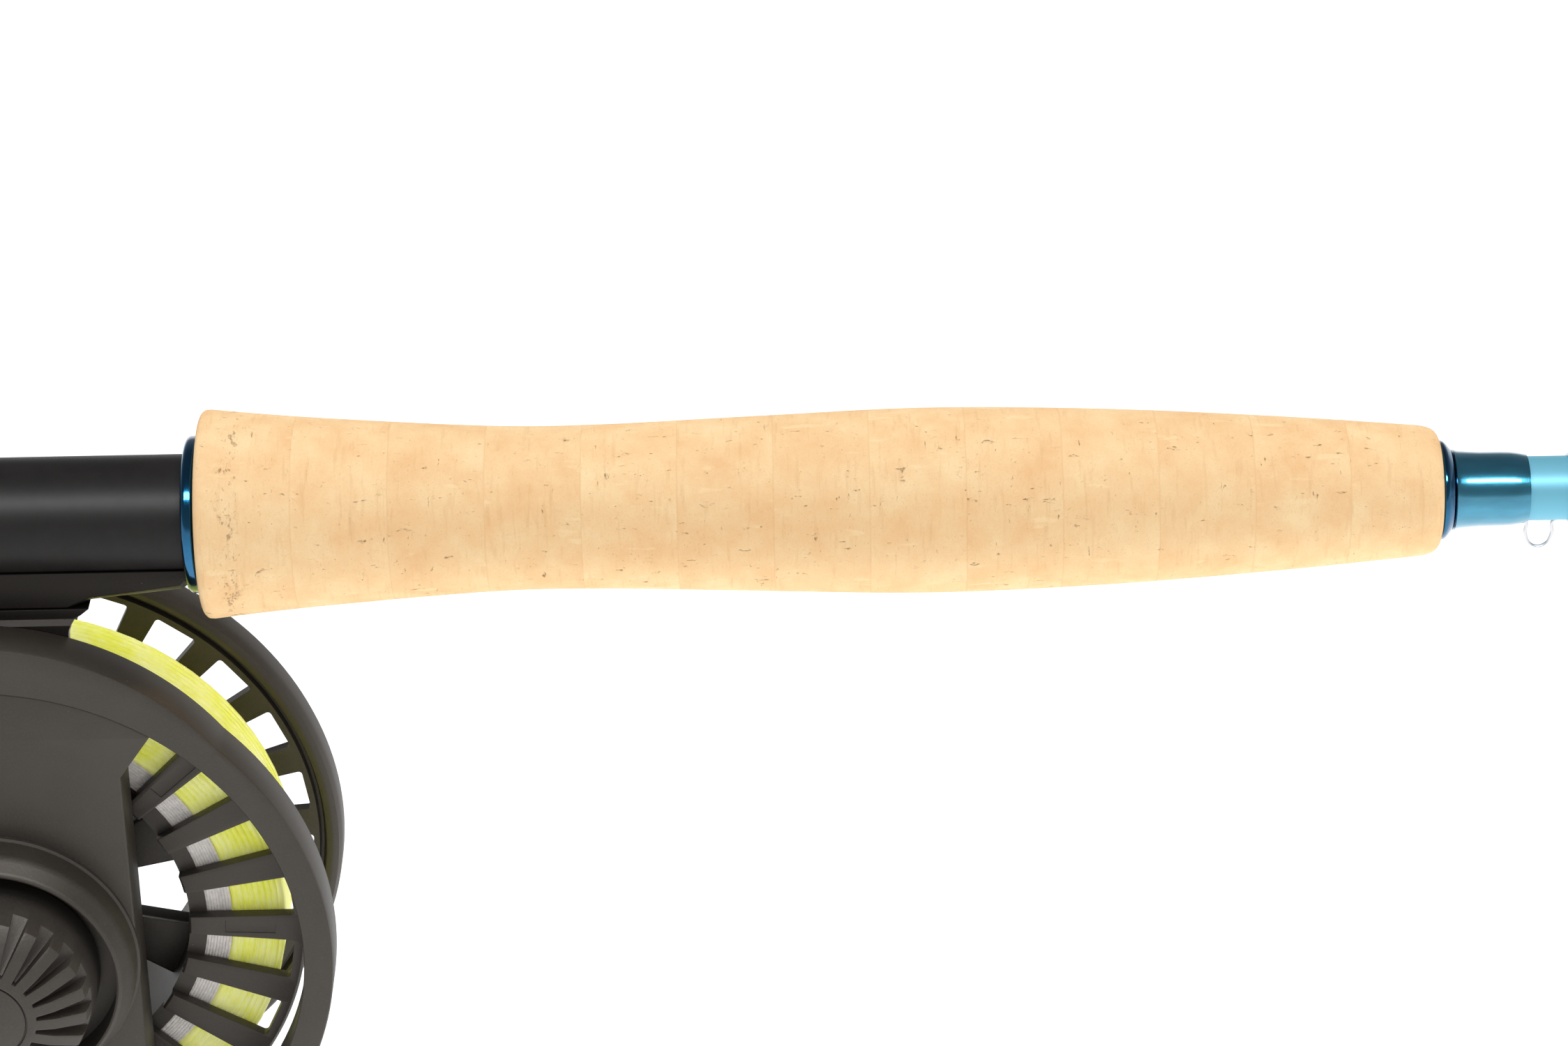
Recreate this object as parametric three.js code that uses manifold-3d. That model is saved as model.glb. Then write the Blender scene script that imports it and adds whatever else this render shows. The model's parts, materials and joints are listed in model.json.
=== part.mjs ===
// Four-piece fly rod with a half-wells cork grip and a large-arbor fly reel on its seat.
// Millimetres, +Z up. The rod lies along X: the origin is the centre of the butt cap's rear face and
// +X runs to the tip. The reel hangs to -Z, its drag knob faces -Y and its handle faces +Y.
import * as THREE from 'three';
import { mergeVertices } from 'three/addons/utils/BufferGeometryUtils.js';
import Module from 'manifold-3d';

const wasm = await Module();
wasm.setup();

// ---- driving dimensions -------------------------------------------------------------------------
const CLEARANCE = 0.15;            // running and fitting gap between neighbouring pieces

const ROD_LENGTH = 2743;           // nine feet from butt cap to tip top
const SEAT_RADIUS = 8;
const SEAT_START = 6.2;
const GRIP_START = 98.6;
const GRIP_LENGTH = 162.6;
const CORK_RINGS = 13;
const BLANK_RADIUS_AT_SEAT = 4.75;
const BLANK_RADIUS_AT_TIP = 0.8;
const BLANK_WALL = 0.9;
const SECTION_ENDS = [700, 1385, 2070, ROD_LENGTH - 6];
const FERRULE_OVERLAP = 55;
const BLANK_START = 24;

const FOOT_HALF_LENGTH = 32;
const FOOT_HALF_WIDTH = 7;
const FOOT_EDGE_TOP = 8.15;        // radius of the saddle that meets the seat tube
const FOOT_MIDDLE_DEPTH = 10.7;    // underside below the rod axis over the bridge
const FOOT_TOE_DEPTH = 9.3;
const FOOT_SIDE_TOP = 4.7;         // top of the foot's side faces below the rod axis

const HOOD_LENGTH = 12;
const NUT_LENGTHS = [6.4, 4.9];
const NUT_RADIUS = 10.6;

const REEL_X = 67.5;
const REEL_DROP = 59.8;            // reel axis below the rod axis
const RING_OUTER = 45.4;
const RING_INNER = 41.4;
const RING_FACE = 14.4;            // distances along the reel axis, positive towards the drag knob
const RING_BACK = 7.7;
const BAND_HALF_WIDTH = 19;
const BAND_BACK = 6.6;
const BOSS_RADIUS = 19.2;
const BOSS_SHOULDER = 18.9;
const BOSS_RIM_RADIUS = 16.6;
const BOSS_RIM = 22.3;
const KNOB_RECESS_RADIUS = 15.2;
const KNOB_RADIUS = 14.2;
const KNOB_FACE = 29.6;
const KNOB_FINS = 22;
const KNOB_PHASE = 9;              // degrees from +X to a fin's centre line
const BRIDGE_HALF_WIDTH = 13;
const BRIDGE_BACK = -8;

const SPOOL_HOLES = 24;
const NEAR_SPOKE_PHASE = 12.4;      // degrees from +X to a spoke's centre line
const FAR_SPOKE_PHASE = 16.7;
const HOLE_WIDTH = 9;              // degrees
const ARBOR_INNER = 25;
const ARBOR_OUTER = 26.6;
const NEAR_FLANGE = [5.5, 3.9];    // outer and inner face of the slotted flange
const FAR_FLANGE = [-17, -18.6];
const FLANGE_RADIUS = 41;
const RIM_RADIUS = 44.4;
const RIM_FACE = -16.4;
const RIM_BACK = -22.5;
const WEB_ARMS = 8;
const WEB_PHASE = -22.4;
const WEB_FACES = [-1.4, -4.4];
const HUB_RADIUS = 9;
const BACKING_RADIUS = 30.7;
const LINE_RADIUS = 38.2;
const SPINDLE_RADIUS = 3;
const HANDLE_ANGLE = 213;          // a spoke's centre line well away from the foot
const HANDLE_REACH = 36;

// ---- materials ----------------------------------------------------------------------------------
const finish = (color, roughness, metalness) => new THREE.MeshStandardMaterial({ color, roughness, metalness });
const cork = finish(0xe9c48c, 0.85, 0);
const blackAluminium = finish(0x33302f, 0.45, 0.8);
const castAluminium = finish(0x46413b, 0.55, 0.6);
const blueAnodised = finish(0x1f5a78, 0.25, 0.9);
const blueGraphite = finish(0x2c7fa5, 0.18, 0.3);
const blueThread = finish(0x2f86ab, 0.3, 0);
const brightSteel = finish(0xc4c8cc, 0.2, 1);
const blackPlastic = finish(0x2b2a28, 0.5, 0);
const flyLine = finish(0xdce85a, 0.5, 0);
const backingBraid = finish(0xd7c8be, 0.8, 0);
const ceramic = finish(0x24262a, 0.15, 0.1);

// ---- solids -------------------------------------------------------------------------------------
const toSolid = (geometry) => {
  const plain = geometry.clone();
  plain.deleteAttribute('normal');
  plain.deleteAttribute('uv');
  const merged = mergeVertices(plain, 1e-4);
  const vertProperties = new Float32Array(merged.attributes.position.array);
  const triVerts = new Uint32Array(merged.index.array);
  return new wasm.Manifold(new wasm.Mesh({ numProp: 3, vertProperties, triVerts }));
};

const toGeometry = (solid) => {
  const mesh = solid.getMesh();
  const geometry = new THREE.BufferGeometry();
  geometry.setAttribute('position', new THREE.BufferAttribute(new Float32Array(mesh.vertProperties), 3));
  geometry.setIndex(new THREE.BufferAttribute(new Uint32Array(mesh.triVerts), 1));
  geometry.computeVertexNormals();
  return geometry;
};

const join = (first, ...others) => others.reduce((sum, item) => sum.add(item), first);
const cut = (first, ...others) => others.reduce((rest, item) => rest.subtract(item), first);

// A body of revolution about Z from a closed outline of [radius, height] corners.
const turned = (profile, segments = 24) => {
  const points = profile.map(([radius, height]) => new THREE.Vector2(radius, height));
  const geometry = new THREE.LatheGeometry([...points, points[0]], segments);
  return geometry.rotateX(Math.PI / 2);
};

const ring = (inner, outer, low, high, segments = 24) => {
  const shape = new THREE.Shape().absarc(0, 0, outer, 0, 2 * Math.PI);
  shape.holes.push(new THREE.Path().absarc(0, 0, inner, 0, 2 * Math.PI, true));
  return extrude(shape, low, high, segments / 2);
};

const disc = (radius, low, high, segments = 24) =>
  extrude(new THREE.Shape().absarc(0, 0, radius, 0, 2 * Math.PI), low, high, segments / 2);

const extrude = (shape, low, high, curveSegments = 12) => {
  const geometry = new THREE.ExtrudeGeometry(shape, { depth: high - low, bevelEnabled: false, curveSegments });
  return geometry.translate(0, 0, low);
};

// The same solids laid along the rod: low and high become positions on X.
const alongRod = (geometry) => geometry.rotateY(Math.PI / 2);

const box = (x, y, z) => {
  const geometry = new THREE.BoxGeometry(x[1] - x[0], y[1] - y[0], z[1] - z[0]);
  return geometry.translate((x[0] + x[1]) / 2, (y[0] + y[1]) / 2, (z[0] + z[1]) / 2);
};

// A turned solid whose wall follows radiusAt(position) from start to end, with an optional bore.
const turnedAlong = (start, end, steps, radiusAt, boreAt, segments = 20) => {
  const stations = Array.from({ length: steps + 1 }, (_, i) => start + ((end - start) * i) / steps);
  const outside = stations.map((x) => [radiusAt(x), x]);
  const inside = boreAt ? [[boreAt(end), end], [boreAt(start), start]] : [[0, end], [0, start]];
  return alongRod(solidOfRevolution([...outside, ...inside], segments));
};

const solidOfRevolution = (profile, segments) => {
  const geometry = turned(profile, segments);
  const solid = toSolid(geometry);
  if (solid.volume() > 0) return geometry;
  return turned([...profile].reverse(), segments);
};

const sector = (inner, outer, from, to) => {
  const shape = new THREE.Shape();
  shape.absarc(0, 0, outer, from, to);
  shape.absarc(0, 0, inner, to, from, true);
  shape.closePath();
  return shape;
};

const wire = (points, radius, steps, sides = 6) => {
  const section = new THREE.Shape();
  for (let i = 0; i < sides; i += 1) {
    const angle = (2 * Math.PI * i) / sides;
    const corner = [radius * Math.cos(angle), radius * Math.sin(angle)];
    if (i === 0) section.moveTo(...corner);
    else section.lineTo(...corner);
  }
  section.closePath();
  const extrudePath = new THREE.CatmullRomCurve3(points.map((point) => new THREE.Vector3(...point)));
  return new THREE.ExtrudeGeometry(section, { steps, bevelEnabled: false, extrudePath });
};

const degrees = THREE.MathUtils.degToRad;

// ---- assembly -----------------------------------------------------------------------------------
const rodAndReel = new THREE.Group();
const reel = new THREE.Group();
reel.position.set(REEL_X, 0, -REEL_DROP);
reel.rotation.x = Math.PI / 2;     // local Z points to the drag knob (-Y), local Y points up
rodAndReel.add(reel);

const place = (group, name, shape, material) => {
  const geometry = shape instanceof THREE.BufferGeometry ? shape : toGeometry(shape);
  const mesh = new THREE.Mesh(geometry, material);
  mesh.name = name;
  group.add(mesh);
  return mesh;
};

// ---- rod: blank ---------------------------------------------------------------------------------
const blankRadius = (x) => {
  const share = (x - BLANK_START) / (ROD_LENGTH - BLANK_START);
  return BLANK_RADIUS_AT_SEAT + (BLANK_RADIUS_AT_TIP - BLANK_RADIUS_AT_SEAT) * share ** 0.86;
};
const sectionNames = ['blank_butt_section', 'blank_second_section', 'blank_third_section', 'blank_tip_section'];
const sectionStarts = SECTION_ENDS.map((end, i) => (i === 0 ? BLANK_START : SECTION_ENDS[i - 1] - FERRULE_OVERLAP));

// Each upper section slips over the one below: its socket is bored to clear the lower section's end.
const addSection = (index) => {
  const start = sectionStarts[index];
  const end = SECTION_ENDS[index];
  const socketEnd = start + FERRULE_OVERLAP + 3;
  const boreRadius = (x) => {
    if (index > 0 && x <= socketEnd) return blankRadius(x) + CLEARANCE / 3;
    return Math.max(blankRadius(x) - BLANK_WALL, 0.25);
  };
  const wallRadius = (x) => blankRadius(x) + (index > 0 && x <= socketEnd ? 0.75 : 0);
  const stations = index > 0 ? [start, socketEnd, socketEnd + 0.5, socketEnd + 8] : [start];
  for (let x = stations.at(-1) + 160; x < end - 60; x += 160) stations.push(x);
  stations.push(end);
  const outside = stations.map((x) => [wallRadius(x), x]);
  const inside = stations.map((x) => [boreRadius(x), x]).reverse();
  place(rodAndReel, sectionNames[index], alongRod(solidOfRevolution([...outside, ...inside], 10)), blueGraphite);
};
sectionNames.forEach((_, index) => addSection(index));

// ---- rod: reel seat -----------------------------------------------------------------------------
const buttCapRadius = (x) => 9.4 - 0.9 * Math.max(0, 1 - x / 1.2) ** 2;
place(rodAndReel, 'butt_cap', turnedAlong(0, SEAT_START - CLEARANCE, 3, buttCapRadius), blackAluminium);

const threadPitch = 1.5;
const threadEnd = 46;
const seatProfile = () => {
  const outside = [[SEAT_RADIUS - 0.4, SEAT_START]];
  for (let x = SEAT_START + 1; x < threadEnd; x += threadPitch * 4) {
    outside.push([SEAT_RADIUS, x], [SEAT_RADIUS - 0.4, x + threadPitch * 2]);
  }
  outside.push([SEAT_RADIUS, threadEnd + 1], [SEAT_RADIUS, GRIP_START - 0.1]);
  const bore = BLANK_RADIUS_AT_SEAT + 0.1;
  return [...outside, [bore, GRIP_START - 0.1], [bore, SEAT_START]];
};
place(rodAndReel, 'seat_barrel', alongRod(solidOfRevolution(seatProfile(), 20)), blackAluminium);

const footRear = REEL_X - FOOT_HALF_LENGTH;
const hoodStart = footRear - 4;
const nutStarts = [hoodStart - NUT_LENGTHS[0] - CLEARANCE];
nutStarts.push(nutStarts[0] - NUT_LENGTHS[1] - CLEARANCE);

// The foot is a flat bar under the seat tube, thickest over the bridge and rounded off at both toes.
const footOutline = [
  [-34, 9.3], [-27, 9.3], [-16, 10.9], [-13, 12],
  [13, 12], [16, 10.9], [28.1, 9.75], [28.6, 9.3], [34, 9.3],
];
const footSolid = (grow) => {
  const shape = new THREE.Shape();
  const end = FOOT_HALF_LENGTH + grow;
  shape.moveTo(-end, -FOOT_SIDE_TOP + grow);
  shape.lineTo(-end, -FOOT_TOE_DEPTH - grow);
  shape.lineTo(-17, -FOOT_MIDDLE_DEPTH - grow);
  shape.lineTo(17, -FOOT_MIDDLE_DEPTH - grow);
  shape.lineTo(end, -FOOT_TOE_DEPTH - grow);
  shape.lineTo(end, -FOOT_SIDE_TOP + grow);
  shape.closePath();
  const width = FOOT_HALF_WIDTH + grow;
  const bar = extrude(shape, -width, width).rotateX(Math.PI / 2).translate(REEL_X, 0, 0);
  const stations = footOutline.map(([along, radius]) => [radius + grow, REEL_X + along]);
  const rounding = alongRod(solidOfRevolution([[0, REEL_X - 34], ...stations, [0, REEL_X + 34]], 40));
  return toSolid(bar).intersect(toSolid(rounding));
};
const seatCylinder = (radius) => toSolid(alongRod(disc(radius, -5, 300, 40)));
const screwOffsets = [-7, 7];
const screwHole = (x, radius, low, high) =>
  toSolid(disc(radius, low, high, 16).translate(REEL_X + x, 0, 0));

const foot = cut(
  footSolid(0),
  seatCylinder(FOOT_EDGE_TOP),
  ...screwOffsets.map((x) => screwHole(x, 1.35, -20, -8.9)),
);
place(rodAndReel, 'reel_foot', foot, castAluminium);

const hoodRadius = (x) => 11.6 - 0.8 * ((x - hoodStart) / HOOD_LENGTH - 0.4) ** 2;
const hood = cut(
  toSolid(turnedAlong(hoodStart, hoodStart + HOOD_LENGTH, 3, hoodRadius)),
  seatCylinder(SEAT_RADIUS + CLEARANCE),
  footSolid(0.2),
);
place(rodAndReel, 'sliding_hood', hood, blackAluminium);

const addNut = (index) => {
  const start = nutStarts[index];
  const knurl = new THREE.Shape();
  const teeth = 18;
  for (let i = 0; i <= teeth * 2; i += 1) {
    const angle = (Math.PI * i) / teeth;
    const radius = NUT_RADIUS - (i % 2) * 0.5;
    if (i === 0) knurl.moveTo(radius, 0);
    else knurl.lineTo(radius * Math.cos(angle), radius * Math.sin(angle));
  }
  knurl.holes.push(new THREE.Path().absarc(0, 0, SEAT_RADIUS + CLEARANCE, 0, 2 * Math.PI, true));
  const nut = alongRod(extrude(knurl, start, start + NUT_LENGTHS[index], 16));
  place(rodAndReel, index === 0 ? 'lock_nut' : 'jam_nut', nut, blackAluminium);
};
NUT_LENGTHS.forEach((_, index) => addNut(index));

// ---- rod: grip ----------------------------------------------------------------------------------
// Half-wells outline: flared behind the reel, waisted, then a swell under the palm and a taper forward.
const gripCurve = new THREE.CatmullRomCurve3([
  new THREE.Vector3(GRIP_START, 13.9, 0),
  new THREE.Vector3(113, 12.5, 0),
  new THREE.Vector3(136, 10.95, 0),
  new THREE.Vector3(151, 10.83, 0),
  new THREE.Vector3(172, 11.55, 0),
  new THREE.Vector3(194, 12.2, 0),
  new THREE.Vector3(217, 11.6, 0),
  new THREE.Vector3(239, 10.25, 0),
  new THREE.Vector3(256, 8.85, 0),
  new THREE.Vector3(GRIP_START + GRIP_LENGTH, 8.3, 0),
]);
const gripOutline = gripCurve.getPoints(400);
const gripRadius = (x) => {
  const next = gripOutline.findIndex((point) => point.x >= x - 1e-6);
  const point = gripOutline[Math.max(next, 0)];
  const fromEnd = Math.min(x - GRIP_START, GRIP_START + GRIP_LENGTH - x);
  return point.y - 1.1 * Math.max(0, 1 - fromEnd / 1.4) ** 2;
};
const hoodCup = { start: GRIP_START + 0.3, end: GRIP_START + 9, outer: 11.4, inner: 10.6 };
const ringLength = GRIP_LENGTH / CORK_RINGS;

const addCorkRing = (index) => {
  const start = GRIP_START + ringLength * index;
  const end = start + ringLength - 0.02;
  const bore = () => BLANK_RADIUS_AT_SEAT + 0.1;
  const steps = index === 0 || index === CORK_RINGS - 1 ? 4 : 1;
  let solid = toSolid(turnedAlong(start, end, steps, gripRadius, bore, 16));
  if (index === 0) {
    const pocket = toSolid(alongRod(disc(hoodCup.outer + 0.1, GRIP_START - 1, hoodCup.end + 0.1, 32)));
    solid = cut(solid, pocket);
  }
  place(rodAndReel, `cork_ring_${String(index + 1).padStart(2, '0')}`, solid, cork);
};
for (let index = 0; index < CORK_RINGS; index += 1) addCorkRing(index);

// The fixed hood is a cup let into the first cork ring; the foot's front toe slides into it.
const fixedHood = cut(
  toSolid(alongRod(disc(hoodCup.outer, hoodCup.start, hoodCup.end, 32))),
  toSolid(alongRod(disc(SEAT_RADIUS + 0.1, hoodCup.start - 1, hoodCup.end - 1, 32))),
  toSolid(alongRod(disc(BLANK_RADIUS_AT_SEAT + 0.1, hoodCup.start - 1, hoodCup.end + 1, 32))),
  footSolid(0.2),
);
place(rodAndReel, 'fixed_hood', fixedHood, blackAluminium);

const TRIM_LENGTH = 2.1;
const trimRadius = (x) => 10.4 - 0.5 * Math.abs((2 * (GRIP_START - x)) / TRIM_LENGTH - 1) ** 3;
const trimRing = cut(
  toSolid(turnedAlong(GRIP_START - TRIM_LENGTH, GRIP_START, 4, trimRadius)),
  seatCylinder(SEAT_RADIUS + 0.1),
  footSolid(0.2),
);
place(rodAndReel, 'hood_trim_ring', trimRing, blueAnodised);

// ---- rod: fittings in front of the grip ---------------------------------------------------------
const gripEnd = GRIP_START + GRIP_LENGTH;
const onBlank = (x) => blankRadius(x) + 0.05;
const CHECK_LENGTH = 3.3;
const checkRadius = (x) => 6.75 - 1.55 * Math.max(0, (x - gripEnd) / CHECK_LENGTH) ** 0.6;
const windingCheck = turnedAlong(gripEnd + 0.1, gripEnd + CHECK_LENGTH, 5, checkRadius, onBlank);
place(rodAndReel, 'winding_check', windingCheck, blueAnodised);

const wrapStart = gripEnd + CHECK_LENGTH + 0.1;
const wrapRadius = (x) => 5.1 - 0.45 * Math.max(0, (x - wrapStart) / 8.2) ** 2;
place(rodAndReel, 'grip_wrap', turnedAlong(wrapStart, wrapStart + 8.2, 3, wrapRadius, onBlank), blueThread);

const keeperX = 274.8;
const keeperTop = -blankRadius(keeperX) - 0.7;
const keeperWire = wire([
  [keeperX - 1.75, 0, keeperTop],
  [keeperX - 1.7, 0, keeperTop - 1.9],
  [keeperX - 0.8, 0, keeperTop - 3.6],
  [keeperX + 0.8, 0, keeperTop - 3.6],
  [keeperX + 1.7, 0, keeperTop - 1.9],
  [keeperX + 1.75, 0, keeperTop],
], 0.27, 12);
place(rodAndReel, 'hook_keeper', keeperWire, brightSteel);

const keeperWrapStart = keeperX + 3.4;
const keeperWrapRadius = (x) => 4.95 - 0.35 * ((x - keeperWrapStart) / 8) ** 2;
const keeperWrap = turnedAlong(keeperWrapStart, keeperWrapStart + 8, 2, keeperWrapRadius, onBlank);
place(rodAndReel, 'keeper_wrap', keeperWrap, blueThread);

// ---- rod: line guides ---------------------------------------------------------------------------
const STRIPPER_X = 762;
const stripperRing = { radius: 6.2, wire: 0.75, drop: 13.5 };
const torus = (radius, tube, x, z, sides = 5, segments = 18) =>
  new THREE.TorusGeometry(radius, tube, sides, segments).rotateY(Math.PI / 2).translate(x, 0, z);
place(
  rodAndReel,
  'stripping_guide_ring',
  torus(stripperRing.radius - 0.9, 0.65, STRIPPER_X, -stripperRing.drop),
  ceramic,
);

const stripperFrame = () => {
  const footTop = -blankRadius(STRIPPER_X) - 0.65;
  const legReach = 20;
  const hoop = toSolid(torus(stripperRing.radius + 0.55, stripperRing.wire, STRIPPER_X, -stripperRing.drop));
  const leg = (side, direction) => toSolid(wire([
    [STRIPPER_X + direction * 0.3, side * 5.6, -stripperRing.drop + 3.6],
    [STRIPPER_X + direction * 5, side * 3.6, footTop - 3.2],
    [STRIPPER_X + direction * 10, side * 1, footTop - 0.5],
    [STRIPPER_X + direction * legReach, side * 0.35, footTop],
  ], 0.55, 6, 4));
  return join(hoop, leg(1, 1), leg(-1, 1), leg(1, -1), leg(-1, -1));
};
place(rodAndReel, 'stripping_guide_frame', stripperFrame(), brightSteel);

const snakePlaces = [1060, 1290, 1520, 1750, 1950, 2180, 2380, 2570];
const addSnakeGuide = (x, index) => {
  const size = 4.6 - 0.32 * index;
  const top = -blankRadius(x) - 0.5;
  const reach = size * 2.2;
  const guide = wire([
    [x - reach, 0, top],
    [x - reach * 0.62, 0, top - 0.05],
    [x - reach * 0.3, size * 0.55, top - size * 0.75],
    [x, size * 0.1, top - size * 1.5],
    [x + reach * 0.3, -size * 0.55, top - size * 0.75],
    [x + reach * 0.62, 0, top - 0.05],
    [x + reach, 0, top],
  ], 0.4, 12, 4);
  place(rodAndReel, `snake_guide_${index + 1}`, guide, brightSteel);
};
snakePlaces.forEach(addSnakeGuide);

const tipX = ROD_LENGTH - 6;
const tipTop = () => {
  const tube = toSolid(turnedAlong(tipX - 9, ROD_LENGTH - 1.6, 1, () => 1.55, null, 16));
  const socket = toSolid(turnedAlong(tipX - 10, tipX + 0.3, 1, () => blankRadius(tipX - 9) + 0.06, null, 16));
  const loop = toSolid(torus(2.3, 0.45, 0, 0).rotateY(-0.35).translate(ROD_LENGTH - 1.4, 0, -3.1));
  return join(cut(tube, socket), loop);
};
place(rodAndReel, 'tip_top', tipTop(), brightSteel);

// ---- reel: frame --------------------------------------------------------------------------------
// One casting: the ring round the spool's near flange, a band across it, the drag boss and the bridge.
const bandShape = () => {
  const shape = new THREE.Shape();
  const reach = RING_INNER + 1;
  const flare = 24.5;
  const corner = Math.sqrt(reach ** 2 - flare ** 2);
  shape.moveTo(BAND_HALF_WIDTH, 28);
  shape.lineTo(flare, corner);
  shape.lineTo(-flare, corner);
  shape.lineTo(-BAND_HALF_WIDTH, 28);
  shape.lineTo(-BAND_HALF_WIDTH, -28);
  shape.lineTo(-flare, -corner);
  shape.lineTo(flare, -corner);
  shape.lineTo(BAND_HALF_WIDTH, -28);
  shape.closePath();
  return shape;
};

const bandSolid = () => {
  const bar = toSolid(extrude(bandShape(), BAND_BACK, RING_FACE - 0.35));
  const crown = toSolid(disc(RING_INNER + 0.4, BAND_BACK - 1, RING_FACE + 1, 60));
  const caps = toSolid(extrude(sector(30, RING_INNER + 0.4, degrees(55), degrees(125)), BAND_BACK, RING_FACE - 0.35));
  const lower = toSolid(extrude(sector(30, RING_INNER + 0.4, degrees(235), degrees(305)), BAND_BACK, RING_FACE - 0.35));
  return join(bar.intersect(crown), caps, lower);
};

const bridgeSolid = () => {
  const profile = new THREE.Shape();
  const top = REEL_DROP - FOOT_MIDDLE_DEPTH - 0.1;
  const front = RING_BACK + 0.1;
  profile.moveTo(-front, RING_INNER + 0.6);
  profile.lineTo(-front, top);
  profile.lineTo(-BRIDGE_BACK, top);
  profile.lineTo(-BRIDGE_BACK, RING_OUTER + 0.7);
  profile.lineTo(-BAND_BACK, RING_OUTER + 0.7);
  profile.lineTo(-BAND_BACK, RING_INNER + 0.6);
  profile.closePath();
  // The profile is drawn as (distance towards the handle, height) and turned to run across the reel.
  const bar = extrude(profile, -BRIDGE_HALF_WIDTH, BRIDGE_HALF_WIDTH);
  return toSolid(bar.rotateY(Math.PI / 2));
};

const DRAG_HOUSING = { outer: 14.2, inner: 12.4, open: -0.4 };
const frameSolid = () => {
  const hoop = toSolid(ring(RING_INNER, RING_OUTER, RING_BACK, RING_FACE, 60));
  const boss = toSolid(solidOfRevolution([
    [0, BAND_BACK],
    [BOSS_RADIUS - 0.2, BAND_BACK],
    [BOSS_RADIUS, RING_FACE],
    [BOSS_RADIUS, BOSS_SHOULDER],
    [BOSS_RIM_RADIUS, BOSS_RIM],
    [0, BOSS_RIM],
  ], 40));
  const housing = toSolid(disc(DRAG_HOUSING.outer, DRAG_HOUSING.open, BAND_BACK + 0.5, 32));
  const knobRecess = toSolid(disc(KNOB_RECESS_RADIUS, 15.5, BOSS_RIM + 1, 40));
  const dragRoom = toSolid(disc(DRAG_HOUSING.inner, DRAG_HOUSING.open - 1, 10, 32));
  const spindleHole = toSolid(disc(SPINDLE_RADIUS + 0.1, 0, 30, 24));
  const screws = screwOffsets.map((x) => toSolid(
    disc(1.35, 0, 20, 16).rotateX(-Math.PI / 2).translate(x, RING_OUTER - 1, 0),
  ));
  const whole = join(hoop, bandSolid(), bridgeSolid(), boss, housing);
  return cut(whole, knobRecess, dragRoom, spindleHole, ...screws);
};
place(reel, 'reel_frame', frameSolid(), castAluminium);

const addFootScrew = (x, index) => {
  const headBase = REEL_DROP - RING_OUTER - 0.7;
  const shank = toSolid(disc(1.2, -headBase - 0.4, -9.2, 16));
  const head = toSolid(disc(2.2, -headBase - 1.3, -headBase - 0.1, 16));
  const screw = join(shank, head).translate([REEL_X + x, 0, 0]);
  place(rodAndReel, `foot_screw_${index + 1}`, screw, brightSteel);
};
screwOffsets.forEach(addFootScrew);

// ---- reel: spindle and drag ---------------------------------------------------------------------
const spindle = solidOfRevolution([
  [0, -19.4],
  [SPINDLE_RADIUS - 0.6, -19.4],
  [SPINDLE_RADIUS, -18.8],
  [SPINDLE_RADIUS, 20],
  [0, 20],
], 16);
place(reel, 'spindle', spindle, brightSteel);

const onSpindle = SPINDLE_RADIUS + 0.1;
place(reel, 'drag_pressure_plate', ring(onSpindle, 12.1, 6.2, 7.6), brightSteel);
place(reel, 'drag_washer', ring(onSpindle, 12.1, 4.7, 6.1), blackPlastic);
place(reel, 'drag_disc', ring(onSpindle, 12.1, 2.6, 4.6), brightSteel);
const discSpring = solidOfRevolution([
  [onSpindle + 0.3, 9],
  [11, 7.8],
  [11, 8.4],
  [onSpindle + 0.3, 9.6],
], 20);
place(reel, 'drag_disc_spring', discSpring, brightSteel);

const knobSolid = () => {
  const body = toSolid(solidOfRevolution([
    [onSpindle, 15.9],
    [KNOB_RADIUS - 0.8, 15.9],
    [KNOB_RADIUS, 16.8],
    [KNOB_RADIUS - 0.6, 25.2],
    [KNOB_RADIUS - 2.4, KNOB_FACE - 1.4],
    [5.8, KNOB_FACE],
    [5.6, KNOB_FACE - 0.5],
    [0, KNOB_FACE - 0.5],
    [0, 21],
    [onSpindle, 21],
  ], 24));
  const flutes = Array.from({ length: KNOB_FINS }, (_, i) => {
    const flute = box([7.2, KNOB_RADIUS + 2], [-0.75, 0.75], [KNOB_FACE - 5.2, KNOB_FACE + 2]);
    flute.rotateZ(degrees(KNOB_PHASE) + (2 * Math.PI * (i + 0.5)) / KNOB_FINS);
    return toSolid(flute);
  });
  return cut(body, ...flutes);
};
place(reel, 'drag_knob', knobSolid(), castAluminium);

// ---- reel: spool --------------------------------------------------------------------------------
const holes = (phase, inner, outer, low, high) => Array.from({ length: SPOOL_HOLES }, (_, i) => {
  const middle = phase + (360 / SPOOL_HOLES) * (i + 0.5);
  const shape = sector(inner, outer, degrees(middle - HOLE_WIDTH / 2), degrees(middle + HOLE_WIDTH / 2));
  return toSolid(extrude(shape, low, high, 1));
});

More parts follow.
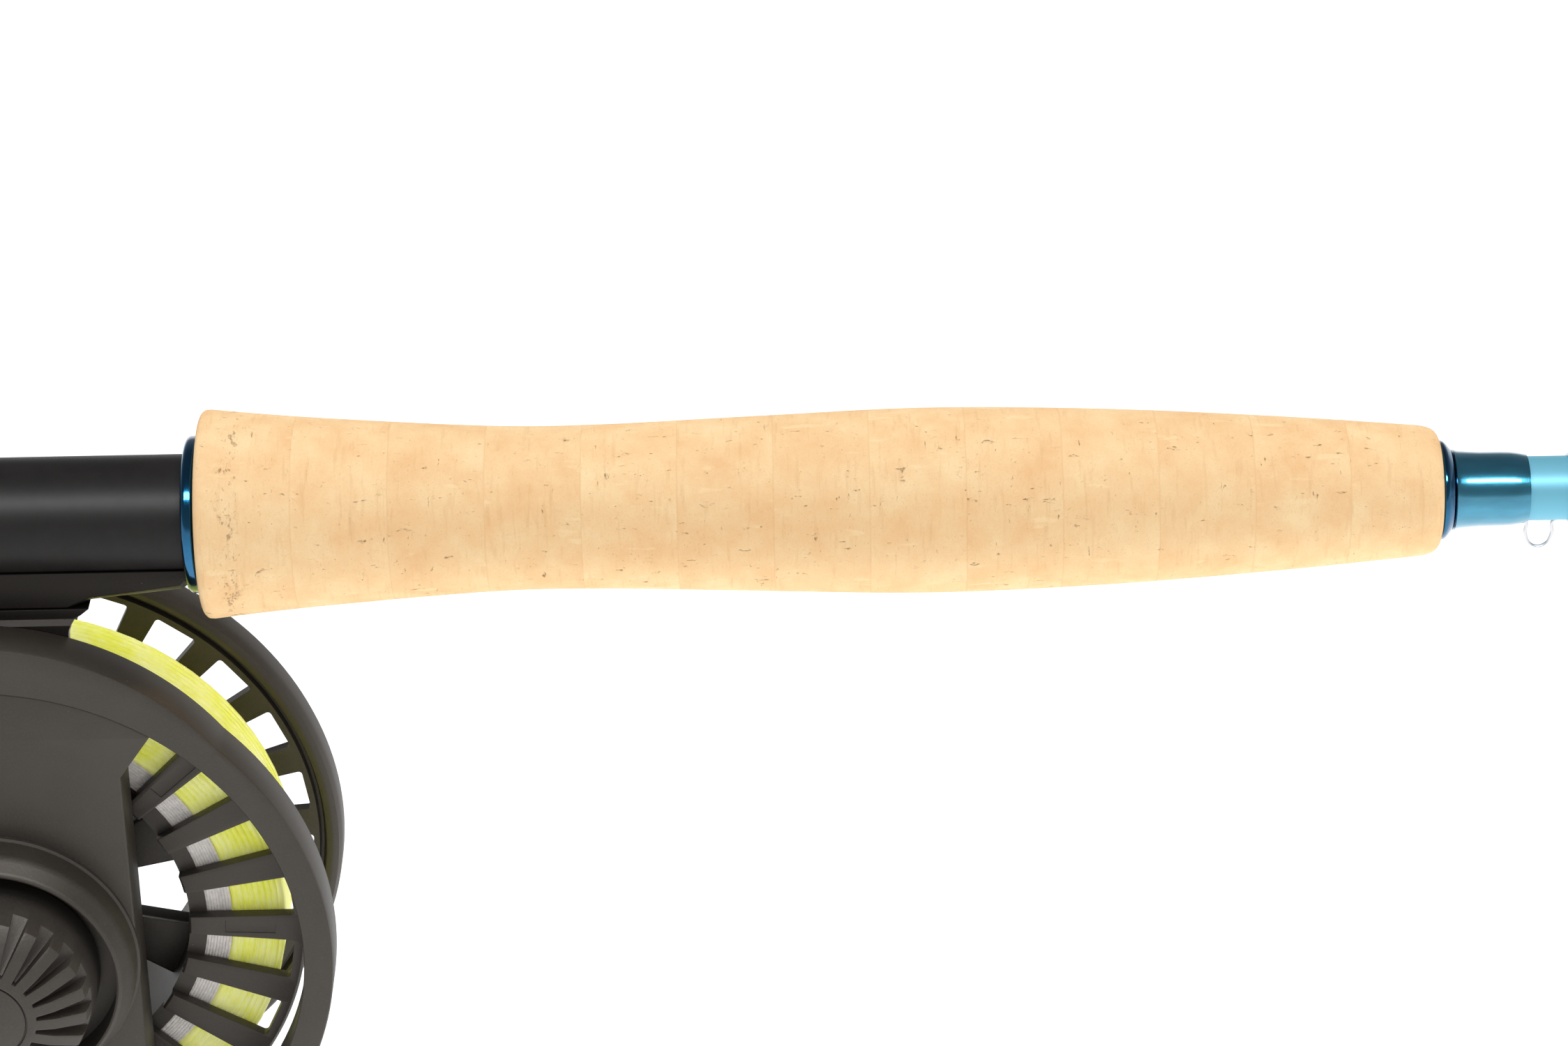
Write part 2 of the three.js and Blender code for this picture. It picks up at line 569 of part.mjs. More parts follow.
const handlePad = (radius, low, high) => toSolid(
  disc(radius, low, high, 16).translate(
    HANDLE_REACH * Math.cos(degrees(HANDLE_ANGLE)),
    HANDLE_REACH * Math.sin(degrees(HANDLE_ANGLE)),
    0,
  ),
);
const spoolSolid = () => {
  const arbor = toSolid(ring(ARBOR_INNER, ARBOR_OUTER, FAR_FLANGE[1] + 0.5, NEAR_FLANGE[1] + 0.2, 48));
  const nearBlank = toSolid(ring(ARBOR_INNER, FLANGE_RADIUS, NEAR_FLANGE[1], NEAR_FLANGE[0], 48));
  const near = cut(nearBlank, ...holes(NEAR_SPOKE_PHASE, 27.4, 39.4, NEAR_FLANGE[1] - 1, NEAR_FLANGE[0] + 1));
  const farBlank = toSolid(ring(ARBOR_INNER, FLANGE_RADIUS + 0.5, FAR_FLANGE[1], FAR_FLANGE[0], 48));
  const far = join(
    cut(farBlank, ...holes(FAR_SPOKE_PHASE, 28.2, 40.3, FAR_FLANGE[1] - 1, FAR_FLANGE[0] + 1)),
    handlePad(5, FAR_FLANGE[1], FAR_FLANGE[0]),
  );
  const rim = toSolid(solidOfRevolution([
    [FLANGE_RADIUS, FAR_FLANGE[1]],
    [FLANGE_RADIUS, FAR_FLANGE[0]],
    [RIM_RADIUS - 1, RIM_FACE],
    [RIM_RADIUS, RIM_FACE - 1],
    [RIM_RADIUS, RIM_BACK + 1.4],
    [RIM_RADIUS - 0.8, RIM_BACK],
    [RIM_RADIUS - 1.8, RIM_BACK],
    [RIM_RADIUS - 2.2, FAR_FLANGE[1]],
  ], 48));
  const hub = toSolid(ring(onSpindle + 3.2, HUB_RADIUS, -18.6, WEB_FACES[0] + 0.3, 24));
  const arms = Array.from({ length: WEB_ARMS }, (_, i) => {
    const middle = WEB_PHASE + (360 / WEB_ARMS) * i;
    const shape = sector(HUB_RADIUS - 0.5, ARBOR_INNER + 0.5, degrees(middle - 10.5), degrees(middle + 10.5));
    return toSolid(extrude(shape, WEB_FACES[1], WEB_FACES[0], 2));
  });
  const whole = join(near, far, rim, arbor, hub, ...arms);
  return cut(whole, handlePad(1.75, FAR_FLANGE[1] - 1, FAR_FLANGE[0] + 1));
};
place(reel, 'spool', spoolSolid(), castAluminium);

place(reel, 'clutch_bearing', ring(onSpindle, onSpindle + 3.1, -18.4, -3.6, 20), brightSteel);
const hubCap = solidOfRevolution([
  [0, -21.4],
  [HUB_RADIUS - 1, -21.4],
  [HUB_RADIUS, -20.4],
  [HUB_RADIUS, -18.8],
  [5.2, -18.8],
  [5.2, -19.6],
  [0, -19.6],
], 20);
place(reel, 'spool_hub_cap', cut(
  toSolid(hubCap),
  toSolid(box([-2.4, 2.4], [-5.4, HUB_RADIUS + 1], [-22, -20.3])),
), castAluminium);
place(reel, 'release_latch', box([-2.1, 2.1], [-1.2, 7.6], [-21.9, -20.45]), brightSteel);
const springLine = [-5.1, -4, -2.6, -1.5].map((height) => [0, height, -21.1]);
place(reel, 'latch_spring', wire(springLine, 0.6, 3), brightSteel);

const winding = (inner, outer) => ring(inner, outer, FAR_FLANGE[0] + 0.15, NEAR_FLANGE[1] - 0.15, 48);
place(reel, 'backing_winding', winding(ARBOR_OUTER + 0.15, BACKING_RADIUS), backingBraid);
place(reel, 'fly_line_winding', winding(BACKING_RADIUS + 0.15, LINE_RADIUS), flyLine);

// ---- reel: handle -------------------------------------------------------------------------------
const handle = new THREE.Group();
handle.position.set(
  HANDLE_REACH * Math.cos(degrees(HANDLE_ANGLE)),
  HANDLE_REACH * Math.sin(degrees(HANDLE_ANGLE)),
  0,
);
reel.add(handle);
const handlePin = solidOfRevolution([
  [0, -46.6],
  [2.9, -46.6],
  [2.9, -45.2],
  [1.6, -45.2],
  [1.6, -17.1],
  [0, -17.1],
], 14);
place(handle, 'handle_pin', handlePin, brightSteel);
const handleKnob = solidOfRevolution([
  [1.75, -22.4],
  [1.75, -44.9],
  [3.2, -44.9],
  [3.2, -45.9],
  [5.2, -45.6],
  [6.4, -43.5],
  [6.2, -38],
  [4.9, -30],
  [5.2, -24],
  [5.6, -22.4],
], 20);
place(handle, 'handle_knob', handleKnob, blackPlastic);
place(handle, 'handle_collar', ring(1.75, 4.2, -22.2, -18.75, 24), castAluminium);

export default rodAndReel;
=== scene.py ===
"""Fly rod with a cork grip and a large-arbor reel: the fine surfaces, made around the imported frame.

Every sub-assembly is a class. Its fields are its sizes in millimetres, its build method models its
pieces with Blender's own tools, and each piece rides on the body of the frame that it belongs to.
"""

import json
import logging
import math
import random
from dataclasses import dataclass, field
from enum import Enum
from typing import Callable, Iterable, Sequence

import bpy
from mathutils import Matrix, Vector


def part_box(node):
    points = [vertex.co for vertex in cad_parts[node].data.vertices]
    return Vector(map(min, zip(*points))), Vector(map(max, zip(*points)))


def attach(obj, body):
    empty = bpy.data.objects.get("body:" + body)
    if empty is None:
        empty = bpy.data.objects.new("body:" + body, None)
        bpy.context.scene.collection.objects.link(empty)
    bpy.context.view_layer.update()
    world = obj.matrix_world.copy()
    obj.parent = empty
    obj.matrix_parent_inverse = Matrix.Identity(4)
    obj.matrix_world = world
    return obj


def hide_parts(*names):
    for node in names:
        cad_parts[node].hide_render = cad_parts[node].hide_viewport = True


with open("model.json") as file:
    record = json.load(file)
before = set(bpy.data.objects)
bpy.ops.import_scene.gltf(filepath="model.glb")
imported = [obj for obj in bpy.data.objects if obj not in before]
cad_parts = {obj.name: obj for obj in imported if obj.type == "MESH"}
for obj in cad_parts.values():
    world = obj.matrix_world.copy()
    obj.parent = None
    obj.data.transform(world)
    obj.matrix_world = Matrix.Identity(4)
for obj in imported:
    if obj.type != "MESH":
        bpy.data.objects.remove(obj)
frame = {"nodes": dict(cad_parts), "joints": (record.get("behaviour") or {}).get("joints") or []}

MM = 0.001
NEAR = 0.01
LOG = logging.getLogger("fly_rod")

Outline = Sequence[tuple[float, float]]


class Body(str, Enum):
    """The moving bodies of the frame."""

    BUTT = "rod_butt"
    HOOD = "sliding_hood"
    LOCK_NUT = "lock_nut"
    JAM_NUT = "jam_nut"
    SECOND = "blank_second"
    THIRD = "blank_third"
    TIP = "blank_tip"
    DRAG_KNOB = "drag_knob"
    SPOOL = "spool"
    HANDLE = "handle_knob"
    LATCH = "release_latch"


class Slot(str, Enum):
    """The record's material slots."""

    SEAT = "seat_black"
    REEL = "reel_black"
    BLUE = "blue_anodised"
    BLANK = "blue_blank"
    THREAD = "thread_wrap"
    STEEL = "bright_steel"
    CERAMIC = "ring_ceramic"
    FIBRE = "drag_fibre"
    HANDLE = "handle_black"
    LINE = "fly_line"
    BACKING = "backing"
    CORK = "cork"


class Lie(Enum):
    """How a piece made about its own Z axis lies in the object."""

    ROD = "along the rod, own Z towards the tip"
    REEL = "on the reel's axis, own Z towards the drag knob, own Y up"


def joint_place(name: str) -> Vector:
    """Gives the point that a hinge of the frame turns about.

    Args:
        name: the joint's name.

    Returns:
        The point in millimetres.
    """
    found = next(joint for joint in frame["joints"] if joint["name"] == name)
    return Vector(found["pos_m"]) / MM


def low(node: str) -> Vector:
    """Gives a frame node's lowest corner in millimetres."""
    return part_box(node)[0] / MM


def high(node: str) -> Vector:
    """Gives a frame node's highest corner in millimetres."""
    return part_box(node)[1] / MM


REEL_CENTRE = joint_place("spool_spin")


# ---- the bench: Blender's own modelling tools ---------------------------------------------------


class Bench:
    """Hand tools that the sub-assemblies share. All sizes are in millimetres."""

    @staticmethod
    def clear() -> None:
        """Leaves edit mode and deselects everything."""
        active = bpy.context.view_layer.objects.active
        if active is not None and active.mode != "OBJECT":
            bpy.ops.object.mode_set(mode="OBJECT")
        bpy.ops.object.select_all(action="DESELECT")

    @staticmethod
    def pick(piece: bpy.types.Object) -> None:
        """Selects one piece and makes it the active one."""
        Bench.clear()
        piece.select_set(True)
        bpy.context.view_layer.objects.active = piece

    @staticmethod
    def edit(piece: bpy.types.Object, select: str = "DESELECT") -> None:
        """Opens a piece in edit mode with everything selected or deselected."""
        Bench.pick(piece)
        bpy.ops.object.mode_set(mode="EDIT")
        bpy.ops.mesh.select_all(action=select)

    @staticmethod
    def select_where(piece: bpy.types.Object, test: Callable[[Vector], bool]) -> None:
        """Selects a piece's points whose place passes a test, and stays in edit mode.

        Args:
            piece: the piece, in edit mode.
            test: takes a place in millimetres.
        """
        bpy.ops.mesh.select_mode(type="VERT")
        bpy.ops.mesh.select_all(action="DESELECT")
        bpy.ops.object.mode_set(mode="OBJECT")
        for point in piece.data.vertices:
            point.select = test(point.co / MM)
        bpy.ops.object.mode_set(mode="EDIT")

    @staticmethod
    def turn(name: str, outline: Outline, sides: int, closed: bool = False) -> bpy.types.Object:
        """Turns a piece about its own Z: a circle is extruded and scaled from station to station.

        Args:
            name: the new object's name.
            outline: (place along Z, radius) stations.
            sides: how many sides the circle has.
            closed: True for a ring whose outline comes back to its first station.

        Returns:
            The new object, still on its own axis.
        """
        Bench.clear()
        start, radius = outline[0]
        bpy.ops.mesh.primitive_circle_add(
            vertices=sides, radius=radius * MM, fill_type="NOTHING", location=(0, 0, start * MM)
        )
        piece = bpy.context.object
        piece.name = name
        bpy.ops.object.transform_apply(location=True, rotation=True, scale=True)
        bpy.ops.object.mode_set(mode="EDIT")
        bpy.ops.mesh.select_all(action="SELECT")
        stations = list(outline[1:])
        if closed:
            stations.append(outline[0])
        for place, wide in stations:
            bpy.ops.mesh.extrude_region_move(
                TRANSFORM_OT_translate={"value": (0, 0, (place - start) * MM)}
            )
            ratio = wide / radius
            bpy.ops.transform.resize(value=(ratio, ratio, 1), center_override=(0, 0, place * MM))
            start, radius = place, wide
        bpy.ops.mesh.select_all(action="SELECT")
        bpy.ops.mesh.remove_doubles(threshold=0.0005 * MM)
        if not closed:
            bpy.ops.mesh.fill_holes(sides=0)
        bpy.ops.mesh.select_all(action="SELECT")
        bpy.ops.mesh.normals_make_consistent(inside=False)
        bpy.ops.object.mode_set(mode="OBJECT")
        return piece

    @staticmethod
    def block(name: str, lowest: Sequence[float], highest: Sequence[float]) -> bpy.types.Object:
        """Adds a cube between two corners, ready to be shaped.

        Args:
            name: the new object's name.
            lowest: its lowest corner.
            highest: its highest corner.

        Returns:
            The new object.
        """
        Bench.clear()
        middle = [(a + b) / 2 * MM for a, b in zip(lowest, highest)]
        spans = [(b - a) * MM for a, b in zip(lowest, highest)]
        bpy.ops.mesh.primitive_cube_add(size=1, location=middle, scale=spans)
        piece = bpy.context.object
        piece.name = name
        bpy.ops.object.transform_apply(location=True, rotation=True, scale=True)
        return piece

    @staticmethod
    def wedge(name: str, near: tuple[float, float], far: tuple[float, float], floor: tuple[float, float],
              top: float, rounding: float = 0.0) -> bpy.types.Object:
        """Makes a wedge that points away from the Z axis along +X, for cutting slots and flutes.

        Args:
            name: the new object's name.
            near: (distance, width) of its inner end.
            far: (distance, width) of its outer end.
            floor: height of its underside at the inner and outer end.
            top: height of its top.
            rounding: radius of its four upright edges.

        Returns:
            The new object.
        """
        piece = Bench.block(name, (near[0], -0.5, floor[0]), (far[0], 0.5, top))
        Bench.edit(piece)
        for reach, width in (near, far):
            Bench.select_where(piece, lambda p, reach=reach: abs(p.x - reach) < NEAR)
            bpy.ops.transform.resize(value=(1, width, 1), center_override=(0, 0, 0))
        Bench.select_where(piece, lambda p: abs(p.x - far[0]) < NEAR and abs(p.z - floor[0]) < NEAR)
        bpy.ops.transform.translate(value=(0, 0, (floor[1] - floor[0]) * MM))
        bpy.ops.object.mode_set(mode="OBJECT")
        if rounding:
            Bench.select_upright_edges(piece)
            bpy.ops.mesh.bevel(offset=rounding * MM, segments=4, affect="EDGES")
            bpy.ops.object.mode_set(mode="OBJECT")
        return piece

    @staticmethod
    def select_upright_edges(piece: bpy.types.Object) -> None:
        """Selects the edges that run along the piece's own Z, and stays in edit mode."""
        Bench.edit(piece)
        bpy.ops.mesh.select_mode(type="EDGE")
        bpy.ops.object.mode_set(mode="OBJECT")
        points = piece.data.vertices
        for edge in piece.data.edges:
            run = points[edge.vertices[0]].co - points[edge.vertices[1]].co
            edge.select = abs(run.z) > 3 * math.hypot(run.x, run.y)
        bpy.ops.object.mode_set(mode="EDIT")

    @staticmethod
    def copies_round(piece: bpy.types.Object, angles: Iterable[float]) -> bpy.types.Object:
        """Copies a piece round its Z axis at these angles in degrees and joins the copies.

        Args:
            piece: the model piece, which is used up.
            angles: where the copies go.

        Returns:
            One object that holds all the copies.
        """
        Bench.clear()
        made = []
        for angle in angles:
            twin = piece.copy()
            twin.data = piece.data.copy()
            twin.data.transform(Matrix.Rotation(math.radians(angle), 4, "Z"))
            bpy.context.scene.collection.objects.link(twin)
            made.append(twin)
        bpy.data.objects.remove(piece)
        return Bench.joined(made)

    @staticmethod
    def joined(pieces: Sequence[bpy.types.Object]) -> bpy.types.Object:
        """Joins pieces into the first of them and returns it."""
        Bench.pick(pieces[0])
        for piece in pieces[1:]:
            piece.select_set(True)
        if len(pieces) > 1:
            bpy.ops.object.join()
        return pieces[0]

    @staticmethod
    def boolean(piece: bpy.types.Object, tool: bpy.types.Object, operation: str) -> bpy.types.Object:
        """Cuts, joins or crosses a piece with a tool, which is used up.

        Args:
            piece: the piece that is worked.
            tool: the other solid.
            operation: DIFFERENCE, UNION or INTERSECT.

        Returns:
            The worked piece.
        """
        Bench.pick(piece)
        modifier = piece.modifiers.new(operation.lower(), "BOOLEAN")
        modifier.operation = operation
        modifier.solver = "EXACT"
        modifier.object = tool
        bpy.ops.object.modifier_apply(modifier=modifier.name)
        bpy.data.objects.remove(tool)
        return piece

    @staticmethod
    def soften(piece: bpy.types.Object, width: float, segments: int = 2, angle: float = 35) -> None:
        """Rounds a piece's sharp edges by a width in millimetres."""
        Bench.pick(piece)
        modifier = piece.modifiers.new("edge_rounding", "BEVEL")
        modifier.width = width * MM
        modifier.segments = segments
        modifier.limit_method = "ANGLE"
        modifier.angle_limit = math.radians(angle)
        bpy.ops.object.modifier_apply(modifier=modifier.name)

    @staticmethod
    def settle(piece: bpy.types.Object, lie: Lie, at: Vector | None = None) -> bpy.types.Object:
        """Lays a piece in the object and applies its place, so its object stays at the origin.

        Args:
            piece: a piece on its own Z axis.
            lie: which way that axis points.
            at: where the piece's own origin goes, in millimetres.

        Returns:
            The piece.
        """
        turns = {
            Lie.ROD: Matrix.Rotation(math.radians(90), 4, "Y"),
            Lie.REEL: Matrix.Rotation(math.radians(90), 4, "X"),
        }
        place = at if at is not None else (REEL_CENTRE if lie is Lie.REEL else Vector())
        piece.matrix_world = Matrix.Translation(place * MM) @ turns[lie]
        Bench.pick(piece)
        bpy.ops.object.transform_apply(location=True, rotation=True, scale=True)
        return piece

    @staticmethod
    def wire(name: str, points: Sequence[Sequence[float]], radius: float, smooth: int = 6,
             closed: bool = False, sides: int = 3) -> bpy.types.Object:
        """Draws a round wire through points and turns it into a mesh.

        Args:
            name: the new object's name.
            points: the wire's centre line in millimetres.
            radius: the wire's radius.
            smooth: steps between two points.
            closed: True for an endless wire.
            sides: a quarter of the section's sides, less one.

        Returns:
            The wire as a mesh object.
        """
        Bench.clear()
        curve = bpy.data.curves.new(name, "CURVE")
        curve.dimensions = "3D"
        curve.bevel_depth = radius * MM
        curve.bevel_resolution = sides
        curve.resolution_u = smooth
        curve.use_fill_caps = True
        spline = curve.splines.new("BEZIER")
        spline.bezier_points.add(len(points) - 1)
        for knot, point in zip(spline.bezier_points, points):
            knot.co = Vector(point) * MM
            knot.handle_left_type = knot.handle_right_type = "AUTO"
        spline.use_cyclic_u = closed
        piece = bpy.data.objects.new(name, curve)
        bpy.context.scene.collection.objects.link(piece)
        Bench.pick(piece)
        bpy.ops.object.convert(target="MESH")
        piece = bpy.context.object
        Bench.edit(piece, "SELECT")
        bpy.ops.mesh.remove_doubles(threshold=0.001 * MM)
        bpy.ops.mesh.normals_make_consistent(inside=False)
        bpy.ops.object.mode_set(mode="OBJECT")
        return piece


def finish_piece(piece: bpy.types.Object, body: Body, finish: "Finish", *nodes: str,
                 sharp: float = 32) -> bpy.types.Object:
    """Shades a piece, dresses it and lets it ride on its body.

    Args:
        piece: the modelled piece, in its place.
        body: the body that it moves with.
        finish: what it is made of.
        nodes: the frame's nodes that it stands for.
        sharp: edges sharper than this many degrees stay crisp.

    Returns:
        The piece.
    """
    Bench.pick(piece)
    bpy.ops.object.shade_smooth_by_angle(angle=math.radians(sharp))
    piece.data.materials.clear()
    piece.data.materials.append(finish.material())
    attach(piece, body.value)
    if nodes:
        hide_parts(*nodes)
    LOG.info("%s: %d faces on %s", piece.name, len(piece.data.polygons), body.value)
    return piece


# ---- finishes -----------------------------------------------------------------------------------


class Shader:
    """A node tree under construction, with short names for the nodes that finishes use."""

    def __init__(self, name: str) -> None:
        """Starts a material of this name with an empty shader."""
        self.material = bpy.data.materials.new(name)
        self.material.use_nodes = True
        self.tree = self.material.node_tree
        self.surface = self.tree.nodes["Principled BSDF"]

    def link(self, start: bpy.types.NodeSocket, end: bpy.types.NodeSocket) -> None:
        """Joins two sockets."""
        self.tree.links.new(start, end)

    def value(self, socket: str, number: object) -> None:
        """Sets one of the surface's own sockets."""
        self.surface.inputs[socket].default_value = number

    def place(self, stretch: Sequence[float] = (1, 1, 1)) -> bpy.types.NodeSocket:
        """Gives the object's own coordinates in millimetres, stretched."""
        source = self.tree.nodes.new("ShaderNodeTexCoord")
        mapping = self.tree.nodes.new("ShaderNodeMapping")
        mapping.inputs["Scale"].default_value = [side / MM for side in stretch]
        self.link(source.outputs["Object"], mapping.inputs["Vector"])
        return mapping.outputs["Vector"]

    def noise(self, where: bpy.types.NodeSocket, scale: float, detail: float = 3,
              roughness: float = 0.55) -> bpy.types.NodeSocket:
        """Gives a noise value; scale is in waves to the millimetre."""
        node = self.tree.nodes.new("ShaderNodeTexNoise")
        node.inputs["Scale"].default_value = scale
        node.inputs["Detail"].default_value = detail
        node.inputs["Roughness"].default_value = roughness
        self.link(where, node.inputs["Vector"])
        return node.outputs["Fac"]

    def cells(self, where: bpy.types.NodeSocket, scale: float) -> bpy.types.NodeSocket:
        """Gives the distance in a pattern of cells; scale is in cells to the millimetre."""
        node = self.tree.nodes.new("ShaderNodeTexVoronoi")
        node.inputs["Scale"].default_value = scale
        self.link(where, node.inputs["Vector"])
        return node.outputs["Distance"]

    def ramp(self, source: bpy.types.NodeSocket,
             stops: Sequence[tuple[float, float]]) -> bpy.types.NodeSocket:
        """Maps a value through (place, grey) stops."""
        node = self.tree.nodes.new("ShaderNodeValToRGB")
        elements = node.color_ramp.elements
        while len(elements) < len(stops):
            elements.new(0.5)
        for element, (place, grey) in zip(elements, stops):
            element.position = place
            element.color = (grey, grey, grey, 1)
        self.link(source, node.inputs["Fac"])
        return node.outputs["Color"]

    def math(self, operation: str, first: object, second: object = 0.0,
             third: object = 0.0) -> bpy.types.NodeSocket:
        """Does sums on sockets or numbers."""
        node = self.tree.nodes.new("ShaderNodeMath")
        node.operation = operation
        for socket, item in zip(node.inputs, (first, second, third)):
            if isinstance(item, bpy.types.NodeSocket):
                self.link(item, socket)
            else:
                socket.default_value = item
        return node.outputs["Value"]

    def mix(self, factor: object, first: object, second: object, blend: str = "MIX") -> bpy.types.NodeSocket:
        """Mixes two colours, each a socket or a linear RGB triple."""
        node = self.tree.nodes.new("ShaderNodeMix")
        node.data_type = "RGBA"
        node.blend_type = blend
        sockets = [node.inputs["Factor"], node.inputs[6], node.inputs[7]]
        for socket, item in zip(sockets, (factor, first, second)):
            if isinstance(item, bpy.types.NodeSocket):
                self.link(item, socket)
            elif socket.type == "RGBA":
                socket.default_value = (*item, 1)
            else:
                socket.default_value = item
        return node.outputs[2]

    def bump(self, height: bpy.types.NodeSocket, depth: float, strength: float = 1.0) -> None:
        """Raises the surface by a height map; depth is in millimetres."""
        node = self.tree.nodes.new("ShaderNodeBump")
        node.inputs["Strength"].default_value = strength
        node.inputs["Distance"].default_value = depth * MM
        self.link(height, node.inputs["Height"])
        self.link(node.outputs["Normal"], self.surface.inputs["Normal"])

    def axis(self, letter: str) -> bpy.types.NodeSocket:
        """Gives one of the object's own coordinates in millimetres."""
        split = self.tree.nodes.new("ShaderNodeSeparateXYZ")
        self.link(self.place(), split.inputs[0])
        return split.outputs[letter]


def srgb(red: int, green: int, blue: int) -> tuple[float, float, float]:
    """Turns a colour in 0 to 255 steps into linear light."""
    def one(step: int) -> float:
        """Turns one channel."""
        share = step / 255
        return share / 12.92 if share <= 0.04045 else ((share + 0.055) / 1.055) ** 2.4
    return one(red), one(green), one(blue)


@dataclass(frozen=True)
class Finish:
    """What a piece is made of. Each finish is one material, made once."""

    name: str
    slot: Slot
    colour: tuple[float, float, float]
    roughness: float = 0.5
    metallic: float = 0.0

    def material(self) -> bpy.types.Material:
        """Gives this finish's material, making it the first time."""
        known = bpy.data.materials.get(self.name)
        if known is not None:
            return known
        shader = Shader(self.name)
        shader.value("Metallic", self.metallic)
        shader.value("Roughness", self.roughness)
        self.dress(shader)
        return shader.material

    def dress(self, shader: Shader) -> None:
        """Adds the pattern, colour variation and relief of this finish."""
        raise NotImplementedError


@dataclass(frozen=True)
class Anodised(Finish):
    """Turned aluminium, anodised: fine turning marks, a slight cloudiness and a thin clear skin."""

    skin: float = 0.0
    marks: float = 0.004
    glint: float = 0.5

    def dress(self, shader: Shader) -> None:
        """Adds turning marks and cloudiness."""
        cloud = shader.noise(shader.place(), 0.35, 4)
        fine = shader.noise(shader.place((6, 1, 1)), 1.1, 2)
        darker = tuple(0.72 * part for part in self.colour)
        shade = shader.mix(shader.ramp(cloud, [(0.3, 0), (0.7, 1)]), darker, self.colour)
        shader.link(shade, shader.surface.inputs["Base Color"])
        spread = shader.math("MULTIPLY_ADD", fine, 0.14, self.roughness - 0.07)
        shader.link(spread, shader.surface.inputs["Roughness"])
        shader.value("Specular IOR Level", self.glint)
        shader.value("Coat Weight", self.skin)
        shader.value("Coat Roughness", 0.08)
        shader.bump(fine, self.marks)


@dataclass(frozen=True)
class Casting(Finish):
    """Die-cast aluminium under a matte black coat, with a fine grit and a few pale specks."""

    grit: float = 0.02
    specks: float = 1.0
    glint: float = 0.9

    def dress(self, shader: Shader) -> None:
        """Adds grit, clouding and specks."""
        grit = shader.noise(shader.place(), 3.2, 3, 0.7)
        cloud = shader.noise(shader.place(), 0.12, 3)
        darker = tuple(0.74 * part for part in self.colour)
        lighter = tuple(1.22 * part for part in self.colour)
        shade = shader.mix(shader.ramp(cloud, [(0.35, 0), (0.65, 1)]), darker, self.colour)
        shade = shader.mix(shader.ramp(grit, [(0.45, 0), (0.75, 1)]), shade, lighter)
        dust = shader.ramp(shader.cells(shader.place(), 0.62), [(0.0, 1), (0.055, 0)])
        patch = shader.ramp(shader.noise(shader.place(), 0.3, 1), [(0.5, 0), (0.62, self.specks)])
        where = shader.mix(1.0, dust, patch, "MULTIPLY")
        shade = shader.mix(where, shade, (0.26, 0.24, 0.21))
        shader.link(shade, shader.surface.inputs["Base Color"])
        shader.value("Specular IOR Level", self.glint)
        shader.value("Specular Tint", (1.0, 0.93, 0.85, 1.0))
        spread = shader.math("MULTIPLY_ADD", grit, 0.16, self.roughness - 0.08)
        shader.link(spread, shader.surface.inputs["Roughness"])
        shader.bump(grit, self.grit)


